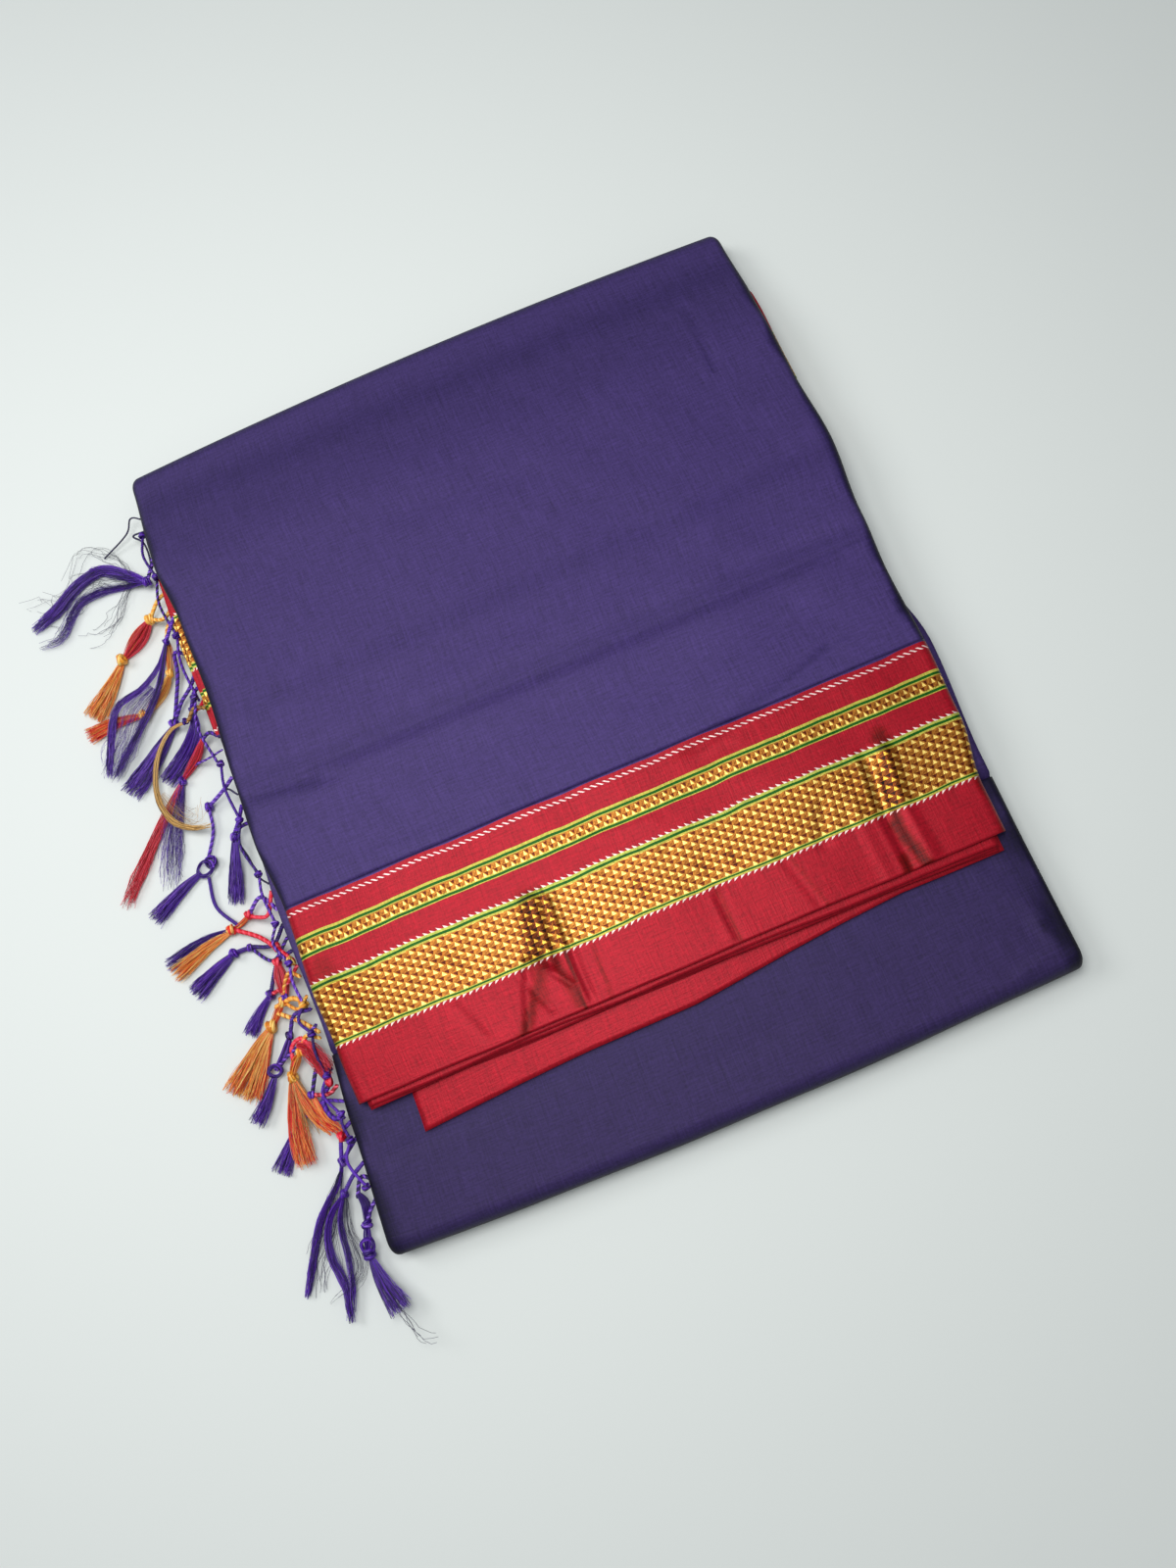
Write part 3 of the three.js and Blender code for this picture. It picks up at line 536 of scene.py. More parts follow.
def paint_shade(piece, rows, table, left_rim, right_rim):
    """Paint shade: keep, at each point, the share of light lost in the creases, along the rolled sides and
    below the next height.
    """
    places = np.empty(3 * len(piece.data.vertices), dtype=np.float32)
    piece.data.vertices.foreach_get("co", places)
    x, y, z = places.reshape(-1, 3).T
    lost = np.zeros(len(x))
    for *line, reach, share in rows:
        distance = np.hypot(*from_line(x, y, *line)[3:])
        ragged = 1 + 0.15 * np.sin(x / (2.1 * MM) + 3 * np.sin(y / (1.7 * MM)))
        lost = np.maximum(lost, share * (1 - smooth(distance * ragged / (reach * MM))))
    for side, rim, key in ((-1, left_rim, "left"), (1, right_rim, "right")):
        uneven = 1 + 0.45 * np.sin(y / (9 * MM) + 2 * np.sin(y / (23 * MM)))
        inward = side * (side_at(table, y, key) - x) / uneven
        lost = 1 - (1 - lost) * (1 - RIM_SHADE * (1 - smooth(inward / (rim * MM))))
    lost = np.where(z > DARK_BELOW, lost, UNDER_SHADE)
    layer = piece.data.attributes.new("painted_shade", "FLOAT", "POINT")
    layer.data.foreach_set("value", lost.astype(np.float32))


def swell(x, y, seed, size=0.25):
    """Slow uneven lift of a resting cloth, in metres."""
    draw = np.random.default_rng(seed)
    total = np.zeros_like(x)
    for _ in range(9):
        length = draw.uniform(28, 120) * MM
        angle = draw.uniform(0, 2 * math.pi)
        phase = draw.uniform(0, 2 * math.pi)
        total += (length / 0.12) * np.sin(
            2 * math.pi * (x * math.cos(angle) + y * math.sin(angle)) / length + phase)
    return total * size * MM / 3


# %% [markdown]
# ## Cloth along a path
# Each stretch follows a path across the width of the saree: along the underside, round a
# fold, over the top. At every row the cloth also rolls down at its two sides. The grid
# bends both ways at once, which a lofted curve would not do, so its rows and columns are
# worked out here.

# %% Path rows and the cloth that follows them
TOP_ROLL, LOWER_ROLL, UNDER_ROLL = 5 * MM, 4 * MM, 2 * MM
RIM_DROP = 1.2 * MM
SHELL = 0.5 * MM
SIDE_ANGLES = np.radians([90, 90, 76, 62, 48, 34, 20, 8])


def rows_of(y, z, ny, nz, roll):
    parts = np.broadcast_arrays(*[np.atleast_1d(np.asarray(v, float)) for v in (y, z, ny, nz, roll)])
    return np.stack(parts, axis=-1)


def fold_rows(centre_y, radius, direction, count, roll):
    """Half turn from the underside to the top, growing from the small roll to the given one."""
    t = np.linspace(0, 1, count)
    angle = -math.pi / 2 + math.pi * t
    ny, nz = direction * np.cos(angle), np.sin(angle)
    rolls = UNDER_ROLL + (roll - UNDER_ROLL) * smooth(t * 1.4)
    return rows_of(centre_y + radius * ny, radius + radius * nz, ny, nz, rolls)


def top_rows(y):
    slope = (top_height(y + MM) - top_height(y - MM)) / (2 * MM)
    length = np.hypot(1, slope)
    return rows_of(y, top_height(y), -slope / length, 1 / length, TOP_ROLL)


def spread(start, end, pitch):
    return np.linspace(start, end, max(2, int(round(abs(end - start) / pitch)) + 1))


def cloth_grid(path, pitch, table, relief):
    """Points of the outer face: rows follow the path, columns go from the left rim to the right."""
    widest = path[:, 4].max()
    middle = spread(-HALF_WIDTH + widest, HALF_WIDTH - widest, pitch)
    angle = np.concatenate([SIDE_ANGLES, np.zeros(len(middle)), SIDE_ANGLES[::-1]])
    side = np.concatenate([-np.ones(len(SIDE_ANGLES)), np.zeros(len(middle)), np.ones(len(SIDE_ANGLES))])
    rim = np.zeros(len(angle))
    rim[0] = rim[-1] = 1
    base = np.concatenate([np.zeros(len(SIDE_ANGLES)), middle, np.zeros(len(SIDE_ANGLES))])
    y, z, ny, nz, roll = (path[:, i:i + 1] for i in range(5))
    flat = base[None, :] * (HALF_WIDTH - roll) / (HALF_WIDTH - widest)
    x = np.where(side == 0, flat, side * (HALF_WIDTH - roll + roll * np.sin(angle)))
    down = roll * (1 - np.cos(angle)) + rim * (0.1 * MM + RIM_DROP * smooth((roll - UNDER_ROLL) / UNDER_ROLL))
    sink = relief(x, y + 0 * x, nz + 0 * x) * np.where(side == 0, 1, np.cos(angle))
    down = down + sink
    return settle(x, y - ny * down, z - nz * down, table), x


def path_length(path):
    step = np.hypot(np.diff(path[:, 0]), np.diff(path[:, 1]))
    return np.concatenate([[0], np.cumsum(step)])


# %% [markdown]
# ## The upper stretch
# It starts on the underside, turns over the far fold, slopes up over the layers that end
# there and runs level to the border. The border is the same cloth, made as a second piece
# with a finer grid, because its creases are shorter and its pattern shows every bend.

# %% Upper stretch of the body and its border
UNDER_SEAM_Y = 190 * MM
MAP_AT_SELVEDGE = -144.8 * MM   # the map starts here, at the selvedge


def top_relief(x, y, up):
    calm = smooth((y + 146 * MM) / (14 * MM))
    level = 1 - smooth((y - 150 * MM) / (50 * MM))
    puckers = swell(x * 2.6, y * 2.6, seed=14, size=0.1) * smooth((-y - 20 * MM) / (30 * MM))
    above = (crease_relief(x, y, CREASES) + crease_relief(x, y, BORDER_CREASES)
             - swell(x, y, seed=4, size=0.5) * level * (0.45 + 0.55 * calm) + puckers)
    around = swell(x, 0 * x, seed=9, size=0.25)
    return above * smooth(up * 2 - 0.8) + around * smooth(1.3 - np.abs(up) * 2)


def make_top():
    far_centre = FAR_FOLD_Y - FAR_FOLD_RADIUS
    turn = fold_rows(far_centre, FAR_FOLD_RADIUS, 1, 26, TOP_ROLL)
    start = rows_of(spread(UNDER_SEAM_Y, far_centre - 3 * MM, 5 * MM), 0, 0, -1, UNDER_ROLL)
    body = top_rows(np.concatenate([spread(far_centre - 2 * MM, 140 * MM, 2 * MM)[1:],
                                    spread(138 * MM, BORDER_TOP_Y, 1.9 * MM)]))
    return np.concatenate([start, turn, body])


top_path = make_top()
points, across = cloth_grid(top_path, 2.6 * MM, TOP_SIDES, top_relief)
length = path_length(top_path)
weave_v = (BORDER_TOP_Y - MAP_AT_SELVEDGE) + (length[-1] - length)
body_top = shell("upper_stretch_cloth", points, woven(across, weave_v[:, None]), SHELL, BODY_CLOTH)

border_path = top_rows(spread(BORDER_TOP_Y - 0.1 * MM, SELVEDGE_Y, 1.15 * MM))
points, across = cloth_grid(border_path, 1.5 * MM, TOP_SIDES, top_relief)
fray = swell(across[-1], 0 * across[-1], seed=21, size=0.5)
fade = np.linspace(0, 1, len(border_path))[:, None] ** 4
points[..., 1] += fade * fray
weave = woven(across, border_path[:, :1] - MAP_AT_SELVEDGE + fade * fray)
border_top = shell("upper_border_cloth", points, weave, SHELL, BORDER_CLOTH)
# Painted shade in the creases, along the rolled sides and on the underside.
paint_shade(body_top, SHADE_LINES, TOP_SIDES, 4.5, 5)
paint_shade(border_top, SHADE_LINES, TOP_SIDES, 2.5, 4.5)
print("upper stretch:", len(body_top.data.polygons), "faces; border:", len(border_top.data.polygons))

# %% [markdown]
# ## The lower stretch
# One piece covers the whole underside, turns over the near fold and comes back on top as
# far as the border, which hides its end. Its underside stays within a hair of the table.

# %% Lower stretch of the body
LOWER_CREASES = [
    (160, -186, 168, -203, 3.5, -1.0, -0.4), (166, -203, 140, -207, 4, -0.6, 0),
    (171, -170, 168, -201, 4, 0.7, 0.3),
    (-172, -172, -60, -168, 6, 0.25, 0), (90, -160, 172, -176, 8, 0.3, 0.15),
    (150, -150, 176, -196, 5, 0.4, 0.2), (-20, -190, 60, -182, 9, 0.2, 0),
]


def lower_relief(x, y, up):
    over = crease_relief(x, y, LOWER_CREASES) - swell(x, y, seed=5, size=0.2)
    under = np.maximum(crease_relief(x, y, UNDER_CREASES) + swell(x, y, seed=6, size=0.08), 0)
    around = swell(x, 0 * x, seed=19, size=0.2)
    return (over * smooth(up * 2 - 0.8) + under * smooth(-up * 2 - 0.8)
            + around * smooth(1.3 - np.abs(up) * 2))


near_centre = NEAR_FOLD_Y + NEAR_FOLD_RADIUS
turn = fold_rows(near_centre, NEAR_FOLD_RADIUS, -1, 24, LOWER_ROLL)
under = rows_of(spread(UNDER_SEAM_Y - 0.3 * MM, near_centre + 5 * MM, 5.5 * MM), 0, 0, -1, UNDER_ROLL)
over = rows_of(spread(near_centre + 2.5 * MM, LOWER_END_Y, 2.2 * MM), LOWER_Z, 0, 1, LOWER_ROLL)
lower_path = np.concatenate([under, turn, over])[::-1]
points, across = cloth_grid(lower_path, 3.4 * MM, SIDES, lower_relief)
length = path_length(lower_path)
body_lower = shell("lower_stretch_cloth", points, woven(across, 0.25 + length[:, None]), SHELL, SHADED_LOWER_CLOTH)
# Painted shade in the creases, along the rolled sides and on the underside.
paint_shade(body_lower, LOWER_SHADE_LINES, SIDES, 7, 9)

# %% [markdown]
# ## Layers at the selvedge
# Under the top selvedge lie the selvedges of the folds below it. Each shows as a thin line
# that wanders, and the lowest group was folded a little longer, so it comes out as a red
# flap. Every layer is a sheet of its own with a slow wave, lifted nowhere above the next.

# %% Border layers
STRIP_ROOT_Y = -119.6 * MM
EDGE_X = [-170, -85, 0, 90, 168]
GROUP_X = [-141, -94.5, -51, 0, 40, 80, 110, 163]
LAYERS = [  # piece, places across, y of the free edge there, height of the middle, number of sheets
    ("border_sheet_second", EDGE_X, [-148.2, -147.4, -147.6, -148.8, -149.6], 22.6, 1, TOP_SIDES),
    ("border_sheet_third", EDGE_X, [-149.6, -148.4, -148.8, -150, -150.8], 21.1, 1, TOP_SIDES),
    ("border_sheet_fourth", EDGE_X, [-147.2, -149.4, -149.2, -147.6, -151.8], 19.6, 1, TOP_SIDES),
    ("border_sheets_below", GROUP_X,
     [-167.7, -164.6, -163.4, -162.6, -159.0, -154.6, -152.4, -152.6], 17.75, 2, SIDES),
]


def join_pieces(name, pieces):
    """One object from several, with the material slots kept."""
    for piece in bpy.context.view_layer.objects:
        piece.select_set(piece in pieces)
    bpy.context.view_layer.objects.active = pieces[0]
    if len(pieces) > 1:
        bpy.ops.object.join()
    joined = bpy.context.view_layer.objects.active
    joined.name = joined.data.name = name
    joined.select_set(False)
    return joined


def border_layer(name, places, edge, height, sheets, table, seed):
    made = []
    places, edge = np.array(places) * MM, np.array(edge) * MM
    for number in range(sheets):
        x = spread(places[0], places[-1], 2.4 * MM)
        setback = number * 1.1 * MM
        free = np.interp(x, places, edge) + swell(x, 0 * x, seed + number, 0.6) + setback
        t = np.linspace(0, 1, 16)[:, None] ** 0.7
        y = STRIP_ROOT_Y + (free[None, :] - STRIP_ROOT_Y) * t
        level = height * MM + (0.4 * MM if sheets > 1 else 0) * (1 - 2 * number)
        z = level + 0.25 * MM + swell(x[None, :] + 0 * y, y, seed + 5 + number, 0.16) * t
        grid = settle(x[None, :] + 0 * y, y, z, table)
        weave = woven(x[None, :] + number * 0.02, y - free[None, :] + 0.4 * MM)
        made.append(shell(name, grid, weave, 0.4 * MM, BORDER_CLOTH))
    return join_pieces(name, made)


border_layers = [border_layer(*row, seed=30 + 7 * i) for i, row in enumerate(LAYERS)]
print([piece.name for piece in border_layers])

# %% [markdown]
# ## The folds at the sides
# The saree is folded many times along its length, so each side of the pack is a row of
# folded edges. They are made as one cloth that runs out, turns in a small half circle, runs
# back inside and out again. Every fold comes out by its own small amount, and that amount
# drifts along the pack, because no two folds were laid exactly alike.

# %% Side folds
FOLD_COUNT = 15
FOLD_DEPTH = 9 * MM
FOLD_BASE = 2.4 * MM
FOLD_TURN = 2.2 * MM   # depth at which a fold starts to turn
UNDER_TOP, UNDER_LOWER = 6.4 * MM, 5.6 * MM   # room left under the upper and the lower stretch
SECOND_BORDER = {-1: 157 * MM, 1: 176 * MM}   # y of the other selvedge where it shows
UPPER_FOLDS = 16.8 * MM


def side_folds(side):
    """Grid of one side: rows go along the pack, columns follow the folded section."""
    y = spread(204 * MM, -206 * MM, 6 * MM)
    limit = np.where(y > LOWER_END_Y, top_height(y) - UNDER_TOP, LOWER_Z - UNDER_LOWER)
    near = smooth((-y - 196 * MM) / (12 * MM))
    far = smooth((y - 190 * MM) / (16 * MM))
    turns = np.radians(np.linspace(-90, 90, 5))
    grid, weave = [], []
    for number in range(FOLD_COUNT):
        pitch = (limit - FOLD_BASE) / FOLD_COUNT
        radius = pitch * 0.42
        middle = FOLD_BASE + pitch * (number + 0.5)
        drift = swell(0 * y + number * 31 * MM, y, seed=60 + number, size=0.9)
        inset = 1.0 * MM + 0.5 * MM * math.sin(number * 2.4) - drift
        inset = np.clip(inset, 0.6 * MM, 2.4 * MM) + 2.2 * MM * (near + far)
        legs = [[(depth, lift, 0) for depth in (FOLD_DEPTH, FOLD_TURN)] for lift in (-1, 1)]
        section = legs[0] + [(None, math.sin(a), math.cos(a)) for a in turns] + legs[1][::-1]
        for depth, lift, out in section:
            extra = radius - radius * out if depth is None else depth
            x = side * (HALF_WIDTH - inset - extra)
            grid.append((x, middle + radius * lift))
            weave.append(number * 0.02 + extra + 0 * y)
    columns = [settle(x, y, z, SIDES) for x, z in grid]
    upper = [np.where(z > LOWER_Z, 1.0, 0.0) for _, z in grid]
    shifted = [settle(x, y, z, TOP_SIDES) for x, z in grid]
    points = np.stack([a + (b - a) * u[:, None] for a, b, u in zip(columns, shifted, upper)], axis=1)
    heights = points[..., 2]
    first = y[:, None] - MAP_AT_SELVEDGE
    second = SECOND_BORDER[side] - y[:, None]
    v = np.where(heights > UPPER_FOLDS, first, np.where(heights > 9 * MM, second, 0.3 + 0 * second))
    v = np.where(v < 0.0, 0.35 - v, v)
    maps = woven(np.stack(weave, axis=1), v)
    if side < 0:
        points, maps = points[:, ::-1], maps[:, ::-1]
    return shell("side_fold_half", points[:, ::-1], maps[:, ::-1], 0.25 * MM, SHADED_INNER_CLOTH)


TURNS_INSIDE, TURN_PITCH, TURN_LEG = 5, 1.35 * MM, 14 * MM


def nested_turns(centre_y, radius, direction, table, roll):
    """Layers that go round a fold inside the outer one, each a little shorter at the sides."""
    made = []
    for number in range(1, TURNS_INSIDE + 1):
        smaller = radius - TURN_PITCH * number
        path = fold_rows(centre_y, smaller, direction, 12, roll)
        path[:, 1] += radius - smaller
        start, end = path[:1].copy(), path[-1:].copy()
        start[:, 0] = end[:, 0] = centre_y - direction * TURN_LEG
        path = np.concatenate([start, path, end])
        if direction < 0:
            path = path[::-1]
        points, across = cloth_grid(path, 12 * MM, table, lambda x, y, up: 0 * x)
        points[..., 0] *= 1 - 0.004 * (1 + 0.6 * math.sin(number * 1.9))
        maps = woven(across, 0.3 + 0.01 * number + path_length(path)[:, None])
        made.append(shell("nested_turn", points, maps, 0.4 * MM, SHADED_INNER_CLOTH))
    return made


hidden = join_pieces("side_folds", [
    side_folds(-1), side_folds(1), *nested_turns(near_centre, NEAR_FOLD_RADIUS, -1, SIDES, LOWER_ROLL),
    *nested_turns(FAR_FOLD_Y - FAR_FOLD_RADIUS, FAR_FOLD_RADIUS, 1, TOP_SIDES, LOWER_ROLL)])
print("side folds:", FOLD_COUNT, "on each side,", len(hidden.data.polygons), "faces")

# %% [markdown]
# ## The second border at the sides
# The other selvedge lies inside the pack. A fold of it comes out a little further than its
# neighbours at both sides, and shows the same pattern in the opposite order.

# %% Second border
PEEP_DEPTH, PEEP_HEIGHT, PEEP_RADIUS = 20 * MM, 12.8 * MM, 0.6 * MM


def second_border(name, side, y0, y1, peep):
    y = spread(y0 * MM, y1 * MM, 1.5 * MM)
    ends = smooth((y0 * MM - y) / (5 * MM)) * smooth((y - y1 * MM) / (5 * MM))
    out = peep * MM * (0.35 + 0.65 * ends) + swell(0 * y, y, seed=90 + y0, size=0.5)
    angles = np.radians(np.linspace(90, -90, 9))
    section = [(PEEP_DEPTH, 1)] + [(None, a) for a in angles] + [(PEEP_DEPTH, -1)]
    grid, maps = [], []
    for inset, turn in section:
        lift = turn if inset else math.sin(turn)
        reach = HALF_WIDTH - inset if inset else HALF_WIDTH + out - PEEP_RADIUS * (1 - math.cos(turn))
        grid.append(settle(side * reach + 0 * y, y, PEEP_HEIGHT + PEEP_RADIUS * lift + 0 * y, SIDES))
        maps.append(woven(0.02 * len(maps), SECOND_BORDER[side] - y))
    points, weave = np.stack(grid, axis=1), np.stack(maps, axis=1)
    if side < 0:
        points, weave = points[:, ::-1], weave[:, ::-1]
    return shell(name, points, weave, 0.3 * MM, BORDER_CLOTH)


second_left = second_border("second_border_fold_left", -1, 158, 56, 1.6)
second_right = second_border("second_border_fold_right", 1, 177, 112, 1.8)
print("second border pieces:", second_left.name, second_right.name)

# %% [markdown]
# ## Thread materials
# A tassel is the warp of the saree itself, so it has the colours of the stripe that it
# hangs from. Every thread carries a number between 0 and 1, and a ramp turns it into one of
# a few neighbouring shades, which makes a bundle look like many threads.

# %% Threads
def thread_material(name, shades):
    material, net, surface = new_material(name)
    shade = net.value("ShaderNodeAttribute", output="Fac", attribute_name="shade")
    stops = [(place, seen(*colour)) for place, colour in shades]
    net.fill(surface, {"Base Color": net.ramp(shade, stops), "Roughness": 0.36, "Specular IOR Level": 0.5})
    return material


THREADS = {
    name: thread_material(f"{words} thread", shades) for name, words, shades in [
        ("violet", "violet", [
            (0, (18, 10, 52)), (0.45, (70, 26, 146)), (0.85, (104, 44, 196)), (1, (156, 112, 224))]),
        ("dark", "navy", [(0, (20, 18, 42)), (1, (44, 32, 88))]),
        ("orange", "orange", [
            (0, (206, 30, 28)), (0.2, (240, 84, 36)), (0.4, (226, 130, 40)), (0.6, (255, 174, 66)),
            (1, (255, 226, 140))]),
        ("tan", "tan", [(0, (112, 74, 30)), (0.5, (198, 146, 72)), (1, (244, 208, 136))]),
        ("gold", "gold", [(0, (196, 90, 20)), (0.5, (250, 172, 56)), (1, (255, 224, 130))]),
        ("red", "red", [(0, (140, 6, 26)), (0.5, (232, 20, 50)), (1, (250, 96, 118))]),
        ("ember", "red and orange", [
            (0, (190, 10, 30)), (0.4, (244, 42, 44)), (0.7, (250, 140, 54)), (1, (255, 214, 120))])]
}

# %% [markdown]
# ## One geometry tree for cords, bodies and skirts
# Modelling thousands of threads by hand would be hopeless, and a hair system can't be kept
# as plain mesh so easily. Geometry Nodes copies one guide path many times. Each copy gets
# its own place in the cross-section, which swells and tapers along the path. With few
# copies, evenly placed and turned about the path, the same tree gives a twisted cord.

# %% Thread bundle tree
WHOLE_TURN = 2 * math.pi


def build_bundle_tree():
    number, whole = "NodeSocketFloat", "NodeSocketInt"
    net, get, result = new_group(
        "Thread bundle", "GeometryNodeTree",
        [("Geometry", "NodeSocketGeometry", None), ("Threads", whole, 60), ("Points", whole, 12),
         ("Sides", whole, 3), ("Thread Radius", number, 0.00016), ("Head", number, 0.001),
         ("Belly", number, 0.0), ("End", number, 0.004), ("Flatness", number, 0.4),
         ("Twist", number, 0.0), ("Evenness", number, 0.0), ("Ragged", number, 0.12),
         ("Wander", number, 0.0006), ("Seed", whole, 1), ("Material", "NodeSocketMaterial", None)],
        [("Geometry", "NodeSocketGeometry")])
    guide = net.value("GeometryNodeMeshToCurve", {0: get["Geometry"]})
    even_guide = net.value("GeometryNodeResampleCurve", {"Curve": guide, "Count": get["Points"]})
    copies = net.values("GeometryNodeDuplicateElements", {"Geometry": even_guide, "Amount": get["Threads"]},
                        domain="SPLINE")
    index = copies["Duplicate Index"]

    def draw(offset):
        return net.value("FunctionNodeRandomValue", {"ID": index, "Seed": get["Seed"] + offset}, 1,
                         data_type="FLOAT")

    def in_locks(value, locks):
        """Pulls a value towards the nearest of a few, more so further down the thread."""
        return (net.math("ROUND", value * locks) / locks - value) * gathered + value

    factor = net.value("GeometryNodeSplineParameter", output="Factor")
    place = factor * (1.0 - get["Ragged"] * draw(1))
    gathered = place * 0.75
    sample = net.node("GeometryNodeSampleCurve", {"Curves": guide, "Factor": place}, mode="FACTOR").outputs
    position, tangent = Value(net, sample["Position"]), Value(net, sample["Tangent"])
    side = net.vector("NORMALIZE", net.vector("CROSS_PRODUCT", (0, 0, 1), tangent))
    up = net.vector("CROSS_PRODUCT", tangent, side)
    taper = net.math("POWER", place, 0.8) * (get["End"] - get["Head"]) + get["Head"]
    reach = place * (1.0 - place) * 4.0 * get["Belly"] + taper
    own = in_locks(draw(2), 7.0) * WHOLE_TURN
    mixed = (index / get["Threads"] * WHOLE_TURN - own) * get["Evenness"] + own
    angle = factor * get["Twist"] + mixed
    scatter = in_locks(net.math("SQRT", draw(3)), 3.0)
    radius = reach * ((1.0 - scatter) * get["Evenness"] + scatter)
    aside = radius * net.math("COSINE", angle)
    lift = radius * net.math("SINE", angle) * get["Flatness"]
    own_place = net.value("ShaderNodeCombineXYZ", {0: draw(4) * 50.0, 1: draw(5)})
    where = net.vector("ADD", net.vector("SCALE", position, Scale=90.0), own_place)
    noise = net.noise(where, detail=1.0, output="Color")
    drift = net.vector("SCALE", net.vector("SUBTRACT", noise, (0.5, 0.5, 0.5)),
                       Scale=get["Wander"] * 4.0 * place)
    moved = net.vector("ADD", position, net.vector("SCALE", side, Scale=aside))
    moved = net.vector("ADD", net.vector("ADD", moved, net.vector("SCALE", up, Scale=lift)), drift)
    x, y, z = net.split(moved)
    floor_height = get["Thread Radius"] + (draw(6) * 0.0012 + 0.0003)
    target = net.value("ShaderNodeCombineXYZ", {0: x, 1: y, 2: net.math("MAXIMUM", z, floor_height)})
    laid = net.value("GeometryNodeSetPosition", {"Geometry": copies["Geometry"], "Position": target})
    shaded = net.value("GeometryNodeStoreNamedAttribute",
                       {"Geometry": laid, "Name": "shade", "Value": draw(7)},
                       data_type="FLOAT", domain="POINT")
    circle = net.value("GeometryNodeCurvePrimitiveCircle",
                       {"Resolution": get["Sides"], "Radius": get["Thread Radius"]}, mode="RADIUS")
    threads = net.value("GeometryNodeCurveToMesh",
                        {"Curve": shaded, "Profile Curve": circle, "Fill Caps": True})
    smoothed = net.value("GeometryNodeSetShadeSmooth", {"Geometry": threads})
    real = net.value("GeometryNodeRealizeInstances", {0: smoothed})
    painted = net.value("GeometryNodeSetMaterial", {"Geometry": real, "Material": get["Material"]})
    net.put(result["Geometry"], painted)
    return net.tree


BUNDLE = build_bundle_tree()
SOCKETS = {item.name.lower().replace(" ", "_"): item.identifier
           for item in BUNDLE.interface.items_tree if item.in_out == "INPUT"}
LENGTHS = ("thread_radius", "head", "belly", "end", "wander")


def curve_through(points, step=1.2 * MM):
    """Smooth path through points given in millimetres."""
    p = np.array(points, float) * MM
    p = np.concatenate([[2 * p[0] - p[1]], p, [2 * p[-1] - p[-2]]])
    line = []
    for a, b, c, d in zip(p, p[1:], p[2:], p[3:]):
        count = max(2, int(np.linalg.norm(c - b) / step))
        t = np.linspace(0, 1, count, endpoint=False)[:, None]
        line.append(0.5 * (2 * b + (c - a) * t + (2 * a - 5 * b + 4 * c - d) * t**2
                           + (3 * b - a - 3 * c + d) * t**3))
    return np.concatenate([*line, p[-2:-1]])


def bundle(route, colour, seed, **settings):
    """Threads along a path: a plain mesh object made by the tree. Lengths are given in mm."""
    mesh = bpy.data.meshes.new("guide")
    mesh.from_pydata(route.tolist(), [(i, i + 1) for i in range(len(route) - 1)], [])
    carrier = add_object("guide", mesh)
    modifier = carrier.modifiers.new("threads", "NODES")
    modifier.node_group = BUNDLE
    for name, value in {"seed": seed, "material": THREADS[colour], **settings}.items():
        modifier[SOCKETS[name]] = value * MM if name in LENGTHS else value
    bpy.context.view_layer.update()
    evaluated = carrier.evaluated_get(bpy.context.evaluated_depsgraph_get())
    mesh = bpy.data.meshes.new_from_object(evaluated)
    carrier.modifiers.clear()
    bpy.data.objects.remove(carrier)
    return add_object("threads", mesh)


print("bundle tree:", len(BUNDLE.nodes), "nodes")

# %% [markdown]
# ## The fringe
# The warp threads left at the end of the cloth are gathered into cords, and each cord is
# knotted to its neighbour before the loose ends fan out as a tassel. So every tassel is a
# short list of parts: twisted cords from the edge, wrapped knots, a loose body between two
# knots, and the skirt. Places are read on the table from above, in millimetres, and the
# height comes from how far out a part lies.

# %% Parts of a tassel
EDGE_X_MM, FLOOR_X_MM = -172, -199
FLOOR_LIFT, EDGE_RISE = 2.0, 9.5   # mm above the table where a part lies, and how much higher the edge is
# the counts in the rows below, fitted to the triangles allowed
MORE_THREADS, FEWER_POINTS = 1.2, 0.8   # scale the counts of threads and points of the skirts and bodies in the rows below
ROUND_AND_EVEN = dict(flatness=1.0, ragged=0.0, wander=0.0)


def laid_height(x, lift):
    t = (x - FLOOR_X_MM) / (EDGE_X_MM - FLOOR_X_MM)
    return FLOOR_LIFT + EDGE_RISE * float(smooth(np.array(t))) + lift


def placed(path, lift):
    return [(x, y, laid_height(x, lift)) for x, y in path]


def make_cord(path, colour, seed, lift, thick=0.58, turns_per_mm=0.3, raised=0):
    line = curve_through(placed(path, lift + raised), 0.5 * MM)
    length = np.linalg.norm(np.diff(line, axis=0), axis=1).sum() / MM
    return bundle(line, colour, seed, threads=3, points=max(8, int(length * 2.2)), sides=5,
                  thread_radius=thick, head=thick, end=thick, twist=WHOLE_TURN * turns_per_mm * length,
                  evenness=1.0, **ROUND_AND_EVEN)


def make_skirt(path, colour, seed, lift, threads=60, head=1.1, belly=0.0, end=4.0, ragged=0.2, wander=0.9,
               thread=0.13, flatness=0.4, points=14):
    return bundle(curve_through(placed(path, lift)), colour, seed, threads=int(MORE_THREADS * threads),
                  points=int(FEWER_POINTS * points), thread_radius=thread, head=head, belly=belly, end=end,
                  flatness=flatness, ragged=ragged, wander=wander)


def make_body(path, colour, seed, lift, belly=1.5, threads=60):
    return make_skirt(path, colour, seed, lift, threads, head=0.9, belly=belly, end=0.9, ragged=0.0,
                      wander=0.1, flatness=0.8)


